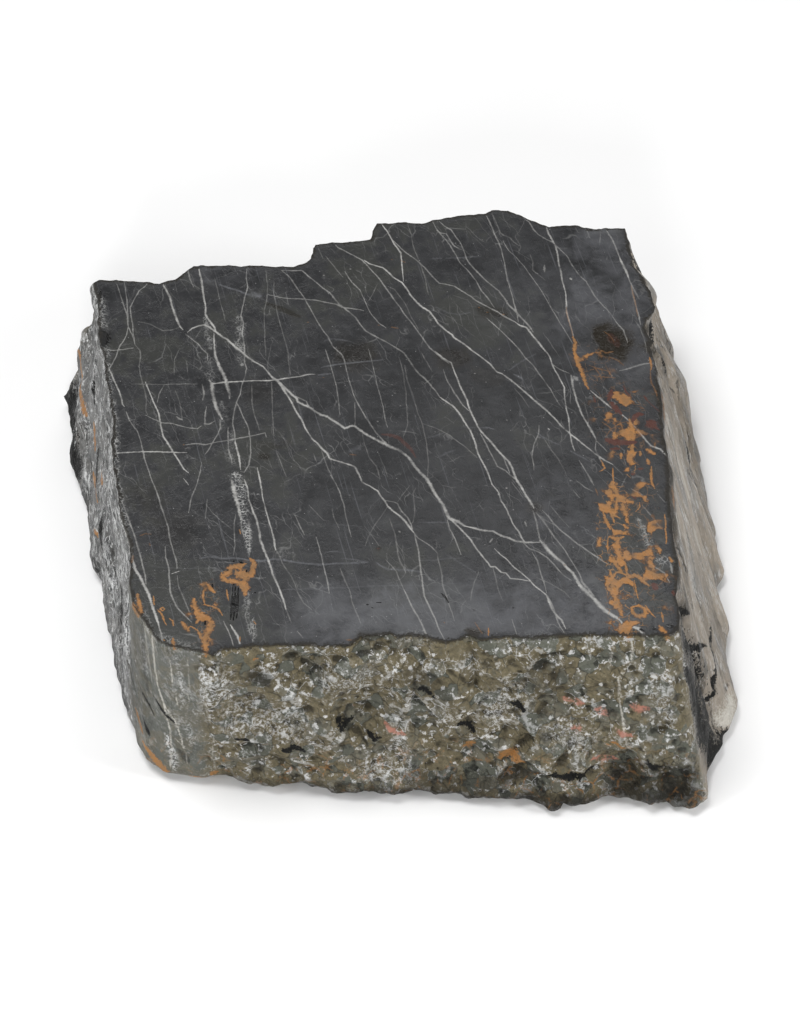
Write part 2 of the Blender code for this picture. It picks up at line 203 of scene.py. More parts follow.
# Streaks on the sawn top.
TOP_STREAKS: dict[Mark, str] = {
    Mark.CALCITE: """
        B 2.2: -208,184 -205,177 -200,164 -197,152 -193,139 -189,128 -186,124;
        B 2.2: -182,121 -178,126 -172,129 -167,130 -162,127 -157,122 -150,115 -146,112 -139,104
          -136,101 -132,97 -129,93 -127,91 -119,84 -112,79 -107,71 -104,66 -100,62 -94,55;
        B 2: -175,201 -173,190 -171,178 -169,165 -167,152 -166,142 -163,136 -158,128 -156,121;
        B 1.5 3.2: -158,120 -157,105 -156,92 -153,83 -150,75 -146,65 -144,58 -141,45 -141,40;
        B 3.2: -160,62 -158,58 -156,45 -154,35 -152,27 -149,20 -147,15;
        B 2.2 3.4: -99,62 -93,54 -86,45 -81,40 -80,36 -74,32 -69,29 -64,24 -58,20 -53,18 -48,13
          -42,8 -38,4 -33,7 -29,7 -25,3 -21,-1 -15,-6 -9,-10 -2,-14 3,-18 9,-21 15,-26 19,-30 23,-38
          28,-46 33,-53 36,-58 39,-66 43,-75 48,-84 51,-92 54,-99 61,-103 67,-108;
        B 1.9: 67,-108 74,-110 82,-113 91,-114 98,-119 105,-122 110,-125 118,-126 125,-126 130,-126;
        B 3.2: 131,-124 135,-130 140,-138 145,-144 150,-149 153,-154 158,-160 161,-167 164,-174
          169,-181 174,-187 179,-194 184,-201 190,-206 195,-210 197,-212;
        B 3: 197,-213 201,-218 207,-218 212,-221 215,-228 217,-235;
        B 1.8: -98,58 -96,56 -91,46 -86,36 -82,26 -78,18 -75,12 -73,5 -70,-1 -66,-9 -62,-13 -58,-19
          -53,-25 -51,-31 -44,-34 -36,-37 -28,-41 -25,-49 -22,-58 -15,-63 -9,-68 -6,-74 -2,-80 0,-85
          5,-91 10,-96 15,-102 19,-109 23,-116;
        B 1.8 1.3: 54,-99 59,-106 66,-115 72,-124 76,-132 81,-141 86,-149 88,-153 92,-153 97,-159
          101,-160 105,-166 113,-167 121,-169;
        B 1.2 2: 92,-133 97,-140 102,-145 108,-153 115,-161 121,-168 126,-175 131,-180 135,-184
          137,-192 139,-199 143,-206 147,-211 150,-220;
        B 1.8: -22,213 -17,208 -12,206 -5,203 0,197 5,190 13,183 18,175 21,167 26,159 31,153 38,147
          42,140 45,133 51,125 58,118 60,114 68,107 76,98 84,91 92,82 98,72 102,70 110,62 119,52
          127,43 134,34 140,27 147,17 153,8 159,1 166,-8 174,-16 183,-26 190,-33 197,-38;
        B 1.6: -7,261 -1,251 2,243 6,233 12,222 13,212 13,200 14,185;
        B 1.8 1.3: 116,134 120,130 126,127 129,121 135,111 139,104 144,95 146,90 148,82 151,72
          155,61 158,53 158,40 159,28 161,14 161,0 162,-12 165,-22;
        B 1.8 1.4: 46,42 51,37 58,31 62,25 66,17 70,8 74,0 77,-12 80,-26 85,-40 89,-52 91,-61 97,-71
          99,-80 103,-89 106,-98 109,-107 113,-114 116,-122 119,-127;
        B 1.4 2.4: 43,97 50,89 57,83 60,72 64,58 68,45 71,38 73,27 77,15 80,6 85,-3 91,-12 97,-21
          101,-28 106,-34 109,-41 112,-55 116,-63 120,-72 124,-80 127,-88;
        B 2 1.4: 147,259 150,247 153,239 156,230 157,220 158,207 160,195 161,183 163,170 163,158
          163,149 165,138 167,125 169,112;
        B 2.4: 215,215 218,203 222,190;
        B 2: 164,68 165,60 166,50 168,40 170,31 172,22 175,14 179,5 182,-3 184,-9;
        B 4: 166,66 170,62;
        B 1.4 2: 181,50 186,44 193,35 199,28;
        B 1.6 2: 207,22 213,14 218,7 222,0 227,-8 232,-16 240,-20 244,-26 247,-36;
        B 1.6: -134,-10 -134,-12 -132,-22 -130,-32 -128,-44;
        B 2.2 1.6: -251,76 -248,70 -244,58 -239,45 -236,33 -234,30;
        B 1.5: -183,-161 -177,-158;
        B 1.6: -158,57 -148,59 -138,60 -120,61 -100,62 -88,65 -78,67 -71,69 -65,69;
        B 1.5: -217,60 -211,43 -206,30 -203,20 -201,8 -198,-5 -192,-16 -187,-26 -182,-36 -178,-44
          -174,-48;
        B 1.5: -245,-25 -240,-25 -228,-24 -215,-23 -200,-23 -185,-24 -176,-24;
        B 2: -125,-55 -122,-65 -120,-78 -117,-88 -113,-100 -110,-113 -109,-122 -106,-132 -103,-142
          -100,-150 -97,-162 -93,-173 -90,-181 -87,-191 -85,-199;
        B 1.6: -114,-42 -111,-58 -108,-75 -105,-90 -103,-99 -100,-110 -98,-120 -96,-130 -95,-135;
        B 1.4: -178,-54 -173,-62;
        B 2.4: -217,-145 -215,-155 -210,-163 -206,-173 -201,-184 -198,-194 -195,-205 -191,-217;
        B 2.2: -131,-216 -128,-222 -125,-228 -123,-236 -122,-240;
        B 3: -126,-100 -131,-78 -136,-56;
        B 5: 168,189 169,188;
        B 3: 142,4 143,3;
        B 3: 96,-72 97,-72;
        B 3: 103,-65 104,-65;
        M 1.5: -185,201 -183,189 -179,178;
        M 1.3: -82,43 -76,39 -72,36 -70,31;
        M 1.3: 23,-116 26,-121 32,-126 38,-131 43,-138;
        M 1.4: -2,-79 6,-81 9,-83 13,-92 18,-99 21,-107 22,-112;
        M 1.4: 23,-116 25,-127 27,-137 28,-150 29,-160 30,-172 32,-185 36,-197 40,-209 44,-221
          48,-231 50,-236;
        M 1.6: 14,-178 19,-191 24,-203 30,-217 33,-226 36,-235;
        M 1.3: 52,-101 54,-112 58,-122 61,-132 63,-140;
        M 1.2: 136,-185 141,-200 144,-214 150,-228 152,-232;
        M 1.6 1.4: -51,235 -47,229 -41,225 -33,219 -24,213 -21,209 -14,198 -8,188 -3,179 3,167 9,155
          14,146 20,135 26,124 33,111 38,102 46,92 55,82;
        M 1.2 1.8: 5,238 12,228 18,221 26,213 34,203 41,191 47,183 55,181 61,179 70,171 80,161
          90,154 99,147 107,140 116,134;
        M 1.3: 148,82 155,75 163,70;
        M 1.3: 41,264 45,254 50,245 58,232 63,219 66,210 74,198 81,186 86,173 92,163 97,152;
        M 1.2 2: 47,264 53,257 59,252 63,243 67,236 70,226 73,214 80,200 86,192 93,183 102,173
          106,165 111,155 118,145 124,136 129,128 132,121;
        M 1.4: 45,252 50,248 54,247 57,240 61,232 66,227 69,226;
        M 1.4 1.8: -98,199 -80,199 -71,189 -62,179 -54,171 -47,160 -44,155 -36,147 -29,139 -24,129
          -20,122 -12,116 -2,109 8,101 15,95 19,86 24,76 29,68 35,61 42,50 46,42;
        M 1.2: 124,-137 128,-146 130,-157 133,-170 135,-182;
        M 1.4: 126,-90 129,-103 130,-115 131,-124;
        M 1.5: 129,-93 135,-103 140,-113 146,-124 152,-135 156,-144 160,-153 163,-160 166,-170
          171,-178 175,-185;
        M 1.6: 134,-90 139,-97 144,-106 150,-114 156,-120 163,-128 170,-134 176,-140 183,-146
          188,-150;
        M 1.4: 82,-2 87,-15 92,-28 96,-40 103,-45 107,-50 112,-56;
        M 1.2: 101,-28 104,-38 107,-48;
        M 1.3: 50,75 53,62 58,50 63,40 67,32 72,25;
        M 1.3: 115,-125 122,-133 130,-137 137,-143 143,-152 150,-163 157,-168;
        M 1.4: 91,274 95,262 99,248 103,235 105,228 107,213 109,200 110,187 112,177 114,166 116,155
          118,144 119,134;
        M 1: 107,238 112,225 119,216 126,205 132,192 138,180 143,168 147,157 151,147 157,133 163,118
          168,105;
        M 1.3: 122,274 132,262 136,252 140,246 147,240 153,236 158,229 163,222 167,216 170,207
          174,199 178,191 183,185 187,175 189,167 193,160 200,149 206,138 210,130 214,123 217,108;
        M 1.6: 204,252 209,239 212,228 215,215;
        M 1.6: 222,190 224,182 227,172 230,163;
        M 1.5: 224,180 225,165 227,152 229,140 230,130;
        M 1.2: 90,139 97,130 105,119 112,110 119,100 124,90 131,80 136,70 141,60 146,51 149,42
          153,33 156,28;
        M 1.3: 184,-9 183,-20 185,-28 187,-35;
        M 1.3: 184,-10 190,-18 193,-23;
        M 2: 208,73 217,76 224,79 232,82 241,82;
        M 1.5: 212,-66 219,-71 227,-79;
        M 1.5: 221,-146 228,-153 236,-160 240,-170;
        M 2: 242,-150 243,-160;
        M 1.5: 175,-50 180,-62;
        M 1.3: 165,-57 172,-64 179,-69;
        M 1.2: -131,201 -131,190 -129,178 -131,166 -133,152 -134,142 -132,132 -132,120 -130,105
          -129,95 -129,85 -127,77 -128,67 -131,55 -132,45 -135,35 -137,20 -137,10 -135,0 -134,-10;
        M 1.2: -184,119 -178,113 -172,107 -168,100 -163,94 -162,85;
        M 1.2: -250,182 -243,160 -238,140 -236,128 -232,118 -229,105;
        M 1.2: -220,184 -224,178 -229,173 -233,162 -236,152 -235,142 -232,130 -231,120 -229,105;
        M 1.2: -243,184 -239,162 -238,145 -236,128 -237,118 -242,105 -245,92 -248,82 -251,76;
        M 1.4: -232,24 -229,15 -224,5 -221,1 -218,-10 -215,-22 -212,-34 -208,-47 -204,-60 -200,-72
          -196,-85 -191,-101 -188,-113 -186,-124 -183,-136 -180,-147 -179,-155;
        M 1: -251,76 -254,68 -254,55 -253,42;
        M 1.2: -260,104 -255,100 -248,98 -240,99 -230,101;
        M 1.3: -99,199 -92,192 -87,183 -82,173 -80,170 -76,162 -72,153 -68,142 -64,133 -58,121
          -54,115 -50,104 -46,98 -41,93 -39,87 -37,75 -35,63 -32,50 -29,40 -25,31 -20,19 -15,9
          -10,-1 -6,-7 -1,-13;
        M 1.2: -29,35 -29,20 -29,8;
        M 1.3: -110,168 -100,165 -90,163 -80,163 -66,161 -55,158 -48,156 -42,152 -34,151 -28,150
          -22,148;
        M 1.2: -200,57 -204,45 -205,35;
        M 1.2: -215,20 -208,15 -200,11 -190,10 -183,7 -175,5 -168,4 -165,7;
        M 1.5: -178,-15 -172,-14 -166,-14 -160,-15 -150,-12 -140,-10 -130,-7 -118,-4 -108,-1
          -107,-6;
        M 1.8: -166,57 -164,45 -165,38;
        M 1.4: -161,30 -162,20 -162,9 -158,9 -153,13;
        M 2: -144,60 -142,50 -141,40;
        M 1.2: -135,35 -131,25 -127,15 -123,5 -121,-10 -120,-25 -121,-38 -125,-47 -128,-46;
        M 1.4: -149,15 -148,5 -150,-3 -154,-12 -157,-20 -160,-26;
        M 1.2: -141,5 -141,-8 -140,-20 -137,-32 -136,-38;
        M 1.6: -126,-100 -125,-110 -123,-120;
        M 1.6: -120,-100 -118,-115 -118,-128 -117,-136 -118,-143;
        M 1: -131,-95 -132,-105 -131,-120 -130,-130 -131,-140;
        M 1.4: -75,-222 -70,-230;
        M 1.2: -163,-35 -164,-48 -166,-60 -169,-72 -171,-82 -172,-93;
        M 1.1: -156,-78 -157,-100;
        M 1.6: -232,-80 -230,-90 -227,-104 -223,-118 -219,-133 -217,-145;
        M 1.8: -191,-217 -189,-225 -188,-235 -187,-240;
        M 1.4: -230,-80 -226,-92 -222,-104 -219,-114 -215,-127 -211,-142 -208,-152 -206,-160
          -204,-172;
        M 1.4: -190,-131 -189,-143 -186,-155 -185,-168 -184,-178 -181,-188 -177,-198 -169,-207
          -164,-213;
        M 1.4: -137,-212 -133,-222 -129,-235 -128,-240;
        M 1.2: -80,-96 -75,-108 -71,-118;
        M 1.1: -56,100 -53,87 -49,70 -46,55 -44,38 -42,20;
        M 1: -17,100 -13,76 -10,60 -7,45 -4,30 -2,15 0,5;
        M 1.1: -40,198 -33,184 -26,174 -22,163 -19,152 -14,142 -9,133 -2,126;
        M 1.1: 134,8 133,-3 129,-14 127,-28 128,-38 128,-45;
        M 1.1: 168,-33 173,-45 178,-55;
        M 1.2: -50,-50 -45,-60 -41,-70 -38,-83 -36,-95 -33,-108 -31,-120;
        M 1.2: -61,-120 -58,-132 -56,-143 -54,-152 -51,-167 -49,-182;
        M 1.3: 105,-210 107,-218 109,-226;
        M 3: 88,-126 90,-122;
        M 3: 10,-114 11,-115;
        M 3: 159,-57 160,-57;
        M 2.4: 78,70 79,70;
        M 2.4: 119,-103 120,-108;
        M 2.4: -33,-73 -32,-73;
        M 2.4: -9,12 -8,12;
        M 2.4: 6,46 7,46;
        M 2.4: 11,31 12,31;
        M 2.4: -154,-108 -152,-111;
        M 2.4: -35,201 -34,201;
        M 2.4: -60,193 -59,193;
        M 2.4: -187,18 -182,14;
        M 2.4: 145,206 145,197;
        M 2.4: 105,14 106,14;
        F 1.3: 43,-138 44,-148 46,-158 47,-172 49,-180 52,-192 55,-203 57,-212;
        F 1.3: 2,-100 6,-115 8,-130 11,-147 16,-160;
        F 1.3: -1,-145 8,-158 12,-172 14,-178;
        F 1.4: 197,-38 200,-42 206,-50;
        F 1.2: 128,-92 137,-102 145,-108;
        F 1.2: 108,-58 114,-68 118,-76;
        F 1.2: 139,-146 146,-158 155,-167;
        F 1.2: 127,-165 136,-170 143,-175 150,-180 155,-187;
        F 1.3: 96,277 101,262 105,248 108,245 113,242 117,236 122,231;
        F 1.3: 225,135 230,125 233,108 234,95;
        F 1.2: 83,182 86,173 92,163 97,152;
        F 1.2: 175,35 177,20 178,8;
        F 1.5: 221,-85 227,-95 233,-106 237,-112;
        F 1.8: 216,-98 220,-108 222,-120 224,-132 228,-140;
        F 1.3: 235,-72 241,-82;
        F 1.3: 160,-66 167,-76;
        F 1.2: -134,140 -134,120 -136,104;
        F 1.2: -229,105 -224,98 -223,90 -224,78 -220,62 -217,48 -215,37 -215,25 -213,20;
        F 1.3: -178,-163 -177,-175 -173,-185 -168,-197 -164,-208;
        F 1.2: -230,57 -200,57 -170,57;
        F 1.1: -105,185 -105,170 -103,158 -101,145 -97,125 -93,110 -90,95 -89,80 -87,68;
        F 1.1: -113,200 -111,180 -111,160 -113,148 -112,125 -111,105 -110,92;
        F 1.1: -160,190 -155,165 -148,135;
        F 1.1: -188,100 -192,88 -192,78 -192,68;
        F 1.2: -228,134 -217,131 -211,127 -205,123 -197,124 -190,127;
        F 1.4: -85,-199 -83,-205 -80,-213;
        F 1.3: -95,-135 -93,-139 -89,-150 -83,-161 -78,-172 -75,-183 -70,-193 -63,-200;
        F 1.1: -104,60 -103,40 -102,20 -101,5 -100,-5;
        F 1.1: -122,57 -120,30 -117,15 -113,2;
        F 1.1: -190,50 -187,40 -184,28 -182,15;
        F 1.2: -157,-84 -150,-95 -146,-97;
        F 1.2: -117,-180 -117,-195 -119,-205 -117,-215 -115,-225;
        F 1.2: -113,-210 -111,-225 -112,-235;
        F 1.8: -118,-165 -108,-166 -103,-165;
        F 1.1: -152,-92 -143,-102 -133,-112;
        F 1.2: 15,80 17,66 20,52 24,38 27,22 31,8 33,-5 35,-20 36,-35 35,-52;
        F 1.1: 30,98 35,85 40,72;
        F 1.1: 10,90 14,70 16,50 17,30 18,10 14,-5;
        F 1.1: 30,10 42,5 55,-4 68,-17 79,-30;
        F 1.3: -22,-3 -20,-15 -16,-30 -10,-40 -6,-55;
        F 1.1: -8,-25 -3,-40 0,-52;
        F 1.1: -97,-25 -93,-38 -88,-52;
        F 1.1: -58,-22 -53,-40 -47,-55;
        F 1.1: -65,-25 -62,-35;
        F 1.1: 18,260 22,245 23,232 27,217 31,203 34,190 36,175 37,168;
        F 1.1: -58,218 -52,208 -45,196 -42,191;
        F 1.1: -66,232 -62,220 -60,214;
        F 1.1: -10,181 -14,168 -18,160;
        F 1.1: 0,179 6,175 10,168 14,160 18,150 22,138 28,124;
        F 1.2: 132,220 134,210 134,200 138,195 145,187;
        F 1.1: 186,252 188,241;
        F 1.1: 198,250 197,232;
        F 1.1: 141,120 147,108 152,97 155,90;
        F 1.4: 228,187 235,185;
        F 1.1: 113,52 120,42 126,29;
        F 1.1: 138,-8 143,-20 150,-32 154,-43;
        F 1.1: 141,-85 149,-98 157,-110;
        F 1.1: -68,-84 -62,-92 -54,-102;
        F 1.1: -48,-88 -46,-98 -41,-112;
        F 1.3: -40,-155 -36,-168 -32,-178 -30,-190 -25,-205 -22,-215;
        F 1.1: -20,-108 -13,-119 -7,-130;
        F 1.1: 0,-86 -5,-97 -12,-110 -17,-122 -19,-130;
        F 1.2: 25,-65 22,-71 23,-82 24,-95 22,-105;
        F 1.1: 9,-81 13,-73 20,-62;
        F 1.1: 78,-158 74,-170 72,-180 71,-190;
        F 1.3: 90,-155 92,-165 94,-178 98,-190;
    """,
    # The widest faint scuffs, along the top's front edge, are partly scuffed haze and partly painted sheen
    # that lightens the top towards its front.
    Mark.SCUFF: """
        B 2: -155,181 -145,176 -135,172 -128,168 -118,165;
        B 6: -126,169 -117,166;
        B 1.8: -60,77 -50,80 -40,82 -28,84 -15,85 -3,87;
        B 2.5: -62,68 -51,70;
        B 1.6: 82,5 90,5 96,2;
        B 1.5: 131,0 137,-6 145,-12 151,-15;
        B 1.5: 161,-22 169,-28 177,-35;
        B 2.4: 180,-32 181,-32;
        B 2.5: 113,69 121,63;
        B 2: -160,-144 -150,-142 -142,-144 -130,-143 -118,-146 -108,-147 -96,-145 -85,-147 -72,-149
          -57,-151 -45,-150 -30,-149 -16,-148;
        B 2.2: -9,-149 -4,-153 2,-156 8,-156 18,-157 28,-159;
        B 4: 161,-207 162,-207;
        M 2: 38,214 50,215;
        M 2: 53,215 86,217;
        M 1.8: 44,152 55,145 65,143 75,146;
        M 1.8: -57,111 -50,113 -36,110 -30,107;
        M 8: -32,-22 -25,-19;
        M 2.2: 47,-29 51,-25 60,-21;
        M 1.8: 35,-7 43,-4 50,-1;
        M 1.6: 65,6 78,5;
        M 1.6: 108,73 115,80 122,86 134,94;
        M 1.6: -158,-138 -148,-141 -140,-144;
        M 1.3: -88,-178 -70,-177 -36,-176 -6,-174 17,-173 30,-174 45,-173 55,-171 63,-172;
        M 1.6: -220,-117 -212,-114 -205,-112;
        M 1.6: 27,-104 40,-104 53,-104;
        M 1.6: -53,-137 -45,-136 -35,-138;
        M 1.6: -39,-144 -28,-145 -20,-147;
        M 1.6: 29,-146 40,-146 50,-144 62,-144;
        M 1.6: 50,-140 56,-144 65,-151 74,-158;
        M 3: -21,-198 -20,-208 -22,-216 -24,-219;
        M 2: 15,-204 17,-211 19,-216;
        M 3: 13,-220 13,-228 13,-238;
        M 3: -1,-174 -1,-180;
        M 1.6: 150,-188 156,-193 165,-196 162,-188;
        F 5: -188,187 -160,186;
        F 1.4: -208,-152 -190,-154 -178,-155 -160,-155 -141,-155;
        F 1.4: 53,-104 72,-104;
        F 1.6: -42,-66 -22,-66;
        F 1.6: -47,-106 -22,-109;
        F 26: 178,182 182,178;
        F 10: 231,-146 240,-146;
        F 22: 20,-170 80,-185 150,-195;
        F 30: -60,-190 0,-205 60,-215 130,-210;
        F 16: 186,-125 170,-110;
    """,
    Mark.RUST: """
        B 4: 168,115 170,107 168,98 170,90 172,80 174,72 176,62 178,55 180,51;
        B 5: 214,15 216,5 217,-5 215,-15 215,-25;
        B 5: 211,-22 213,-28 211,-35;
        B 5: 222,-23 222,-27;
        B 4: 205,-25 205,-31;
        B 5: 228,-20 235,-26;
        B 4: 228,-32 229,-38;
        B 2: 187,-33 189,-39 190,-42 185,-46;
        B 2: 197,-42 197,-60;
        B 2.4: 231,-40 230,-50 230,-58 233,-66;
        B 2.5: 236,90 237,82 237,75;
        B 6: 196,-60 199,-70 201,-78;
        B 6: 204,-83 205,-90 206,-95;
        B 5: 207,-80 213,-82;
        B 2.5: 190,-80 193,-88 194,-95 196,-104;
        B 2.5: 200,-75 198,-88 196,-96 201,-99;
        B 1.4: 219,-82 219,-87 215,-92;
        B 3: 187,-93 188,-98 190,-106 192,-112;
        B 1.4: 190,-120 189,-128 189,-138;
        B 4: 191,-120 197,-122 203,-120;
        B 5.5: 197,-122 197,-132 198,-140 199,-147;
        B 5: 204,-107 206,-110;
        B 3.5: 193,-142 194,-150 198,-155 200,-160;
        B 3: 203,-148 204,-158;
        B 2: 204,-165 201,-170 195,-170 192,-165 195,-159 201,-160 204,-165;
        B 3 5.5: 190,-157 191,-166 191,-175 193,-185 195,-193 197,-200 198,-206;
        B 3.6: 204,-160 206,-165 210,-162 214,-164 218,-170 222,-174;
        B 1.5: 210,-168 211,-180 213,-190;
        B 3.6: 206,-197 212,-195 218,-199 217,-206 210,-207 206,-201 206,-197;
        B 1.4: 218,-195 222,-203 226,-208;
        B 2: 231,-203 232,-213;
        B 2: 240,-95 240,-105 239,-112 240,-120 239,-128;
        B 5: 241,-143 243,-147;
        B 6: 196,-215 199,-222 202,-227 207,-231;
        B 5: 229,-217 231,-222 235,-227;
        B 2: 85,-219 85,-227;
        B 5.5: -117,-144 -113,-149 -114,-156 -115,-163 -119,-163 -121,-170 -119,-176 -120,-184;
        B 5: -122,-178 -125,-171 -132,-169 -138,-168 -140,-163 -134,-160 -134,-155 -129,-152
          -124,-152 -120,-150;
        B 9: -127,-164 -122,-161 -128,-160;
        B 2: -141,-160 -139,-168;
        B 2: -136,-178 -134,-190;
        B 5: -152,-172 -149,-178 -146,-181;
        B 2.5: -155,-179 -155,-187 -154,-193;
        B 5.5: -163,-188 -162,-197 -159,-203 -158,-210 -160,-214;
        B 2: -158,-203 -153,-203;
        B 8: -151,-208 -148,-213 -148,-220 -151,-226 -152,-234 -151,-242 -150,-247;
        B 3: -158,-223 -155,-231;
        B 5: -172,-213 -170,-216 -166,-222;
        B 2: -165,-217 -158,-222;
        B 2: -197,-185 -196,-195;
        B 2: -193,-200 -190,-204 -188,-210 -185,-216;
        B 1.4: -187,-199 -189,-197 -191,-199 -189,-201 -187,-199;
        B 2: -183,-209 -180,-212 -179,-217;
        B 4.5: -216,-191 -213,-196 -211,-202 -208,-204 -208,-198 -210,-190 -211,-183;
        B 3.5: -179,-230 -178,-237 -176,-243 -172,-247;
        B 2.4: -187,-232 -186,-233;
        B 2.4: -196,-228 -195,-230;
        B 2.4: -196,-236 -195,-237;
        B 5: -110,-243 -105,-246;
        B 2: -155,-194 -147,-196 -142,-199 -138,-206;
        B 2: -112,-212 -110,-215;
        B 1.6: -123,-228 -123,-234;
        B 2: -127,-112 -126,-116;
        M 2: 190,100 197,95 204,97;
        M 1.5: 196,122 202,116 205,108;
        M 1.5 2: 199,90 207,86 212,80;
        M 1.4: 163,153 163,148 165,136 167,125 168,115;
        M 1.3: 190,12 196,6 199,0 206,-2 214,2;
        M 1.3: 192,-6 197,2 204,9 212,12;
        M 1.3: 200,12 202,4 199,-4 203,-8;
        M 1.2: 206,11 208,4 207,-5;
        M 1.4: 236,75 236,60 239,50 241,38;
        M 1.6: 236,-12 235,-18;
        M 1.4: 74,-213 77,-219 80,-225;
        M 2: -34,-232 -28,-232;
        M 1.6: 181,-66 183,-74;
        M 1.6: 181,80 190,76 200,72;
        M 1.6: 183,68 192,66 204,65;
        M 1.6: 186,78 190,70 192,62;
        M 1.4: 196,79 199,70 202,64;
        M 1.4: 224,180 226,160 228,140;
        M 3: 83,152 84,152;
        M 3: 90,146 91,146;
        M 3: 105,143 106,143;
        M 2: -58,65 -57,65;
        M 2: 3,213 4,213;
        M 2: 12,212 16,210;
        M 2: -73,133 -72,133;
        M 2: -9,130 -8,130;
        M 2: 3,127 9,126;
        M 2: -33,-26 -27,-27;
        M 2.4: 151,-151 152,-152;
        M 2.2: -180,-15 -179,-15;
        M 1.6: -213,-119 -207,-116;
        M 1.6: -207,-117 -203,-117;
        M 1.6: -204,-127 -203,-130;
        M 3: -217,-141 -218,-150;
        M 2: 48,-213 49,-214;
    """,
    Mark.MAROON: """
        B 5: 200,50 198,42 196,38;
        B 5: 199,35 203,27 207,22;
        B 2: 184,42 185,35;
        B 2: 211,55 213,48 217,41;
        B 2: 229,43 232,37;
        B 5: 217,12 219,18 223,22 227,21;
        B 11: 232,11 236,8;
        B 2: 235,7 240,2;
        B 7: 193,-9 201,-12 210,-13 219,-12;
        B 3: 196,-20 204,-20;
        B 6: 220,-43 222,-43;
        B 7: 214,-49 215,-49;
        B 2: 212,-75 216,-78;
        B 8: 226,-172 229,-177;
        B 5: 243,-179 243,-184;
        M 1.4: 232,37 237,30 242,23;
        M 2.5: -8,-133 -7,-133;
        M 3: -5,-3 3,-4 10,-7 18,-17 22,-22 25,-30;
        F 9: 201,118 208,104;
    """,
    Mark.PITCH: """
        B 5 3: -256,74 -252,60;
        B 3 5: -248,40 -246,20;
        B 4 2: -243,8 -243,-8;
        B 3: -239,-40 -236,-60;
        B 4 3: -264,172 -265,160;
        B 3: -226,-116 -222,-132;
        B 17 16: -263,121 -261,115 -258,107;
        B 1.6: -131,-176 -131,-210;
        B 1.6: -128.5,-175 -128.5,-211;
        B 1.6: -126,-176 -126,-209;
        B 2: 46,-182 50,-187 52,-192;
        B 5: -17,-194 -16,-194;
        B 2.4: -13,-197 -12,-198;
        B 2: -9,-192 -5,-192;
        B 2: 73,-200 74,-200;
        B 2: 106,-198 107,-198;
        B 2: -112,-181 -111,-181;
        B 2: 88,-226 88,-229;
        B 6: 213,-221 215,-222;
        B 6: 224,-220 226,-221;
        B 5: 235,-217 240,-217;
        B 3: -131,-147 -130,-147;
        B 6: -125,-148 -123,-149;
        B 2.4: -136,-157 -135,-157;
        B 2.4: -130,-172 -130,-173;
        B 3: -119.5,-157 -119.5,-159;
        B 3: -148,-172 -148,-175;
        B 3.4: -152.5,-212 -152.5,-216;
        B 3: 213,-202 213,-203;
        F 1.4: 168,161 178,158 190,157 197,157;
    """,
    Mark.SMUDGE: """
        B 40 44: 196,118 202,108 208,98;
        B 7: 246,-195 248,-155 247,-108 245,-76 247,-36 244,5 244,38 241,65;
        B 12: 239,95 237,103 240,112 236,122 237,130;
        B 26: 204,112 210,100;
        B 14: 190,120 197,95;
        B 14: -22,-232 -8,-230 6,-236;
        B 12: 68,-222 80,-224;
        M 7: 243,140 245,152 242,172 233,192;
        M 16: 84,150 96,147 107,142;
        M 4: -112,158 -100,152 -88,144 -80,140;
        M 30: -42,97 -18,93;
        M 20: 50,92 70,88;
        M 16: -110,-29 -106,-29;
        M 12: 126,-84 128,-90;
        M 6: -216,-157 -215,-159;
        M 8: -8,-133 -7,-133;
        F 22: 80,68 100,62;
        F 26: -120,48 -110,46;
        F 14: -115,-16 -95,-17;
        F 14: -92,-13 -88,-13;
        F 24: -215,-70 -200,-85;
        F 34: -195,-106 -172,-118;
    """,
    Mark.CRUSH: """
        B 8 7: -267,170 -262,140 -258,100 -249,50 -243,0 -238,-50 -228,-105 -219,-160;
        B 10 9: -133,-48 -130,-60 -127,-72 -125,-84 -124,-96;
        B 6 5: -124,-96 -121,-110 -119,-124 -118,-140;
        M 7: -216,-185 -196,-226 -150,-246;
        M 5: -118,-72 -112,-72;
        M 5: -118,-180 -118,-205 -115,-225;
        M 5: -113,-208 -111,-232;
        M 6: -166,142 -163,120 -160,100;
        M 7: -136,140 -134,120 -134,100 -131,80;
        M 9: 231,-146 241,-146;
        M 6: 216,-98 222,-120 226,-138;
        M 14: 10,-236 24,-232 40,-236;
        F 7: -162,90 -160,70 -158,58;
        F 6: -148,36 -146,20 -147,4;
        F 6: -138,0 -138,-20 -136,-40;
        F 8: -95,-140 -80,-140;
        F 10: 90,-232 140,-228;
    """,
    Mark.NET: """
        B 22 20: 200,-66 198,-100 195,-130 197,-160 199,-190 203,-222;
        B 14: 206,30 212,10 214,-25 212,-50;
        F 28 26: 226,-60 222,-95 222,-130 224,-165 224,-210;
        F 44: 206,50 208,10 210,-25;
        F 26: 178,100 184,86 190,64;
        F 20: -122,-152 -130,-162;
        F 22 26: -150,-172 -158,-205 -152,-236;
    """,
    # Pale haze, partly painted sheen: broad pale patches, most of them along the top's front edge and right
    # side, where the honed top reflects the lamps.
    Mark.HAZE: """
        B 60 70: -60,-205 30,-212 110,-200 170,-208;
        B 60 70: 202,235 200,190 196,140 200,90;
        M 40: 140,-120 150,-60;
        M 30: -170,200 -120,214;
        F 60: 150,190 120,150;
    """,
}
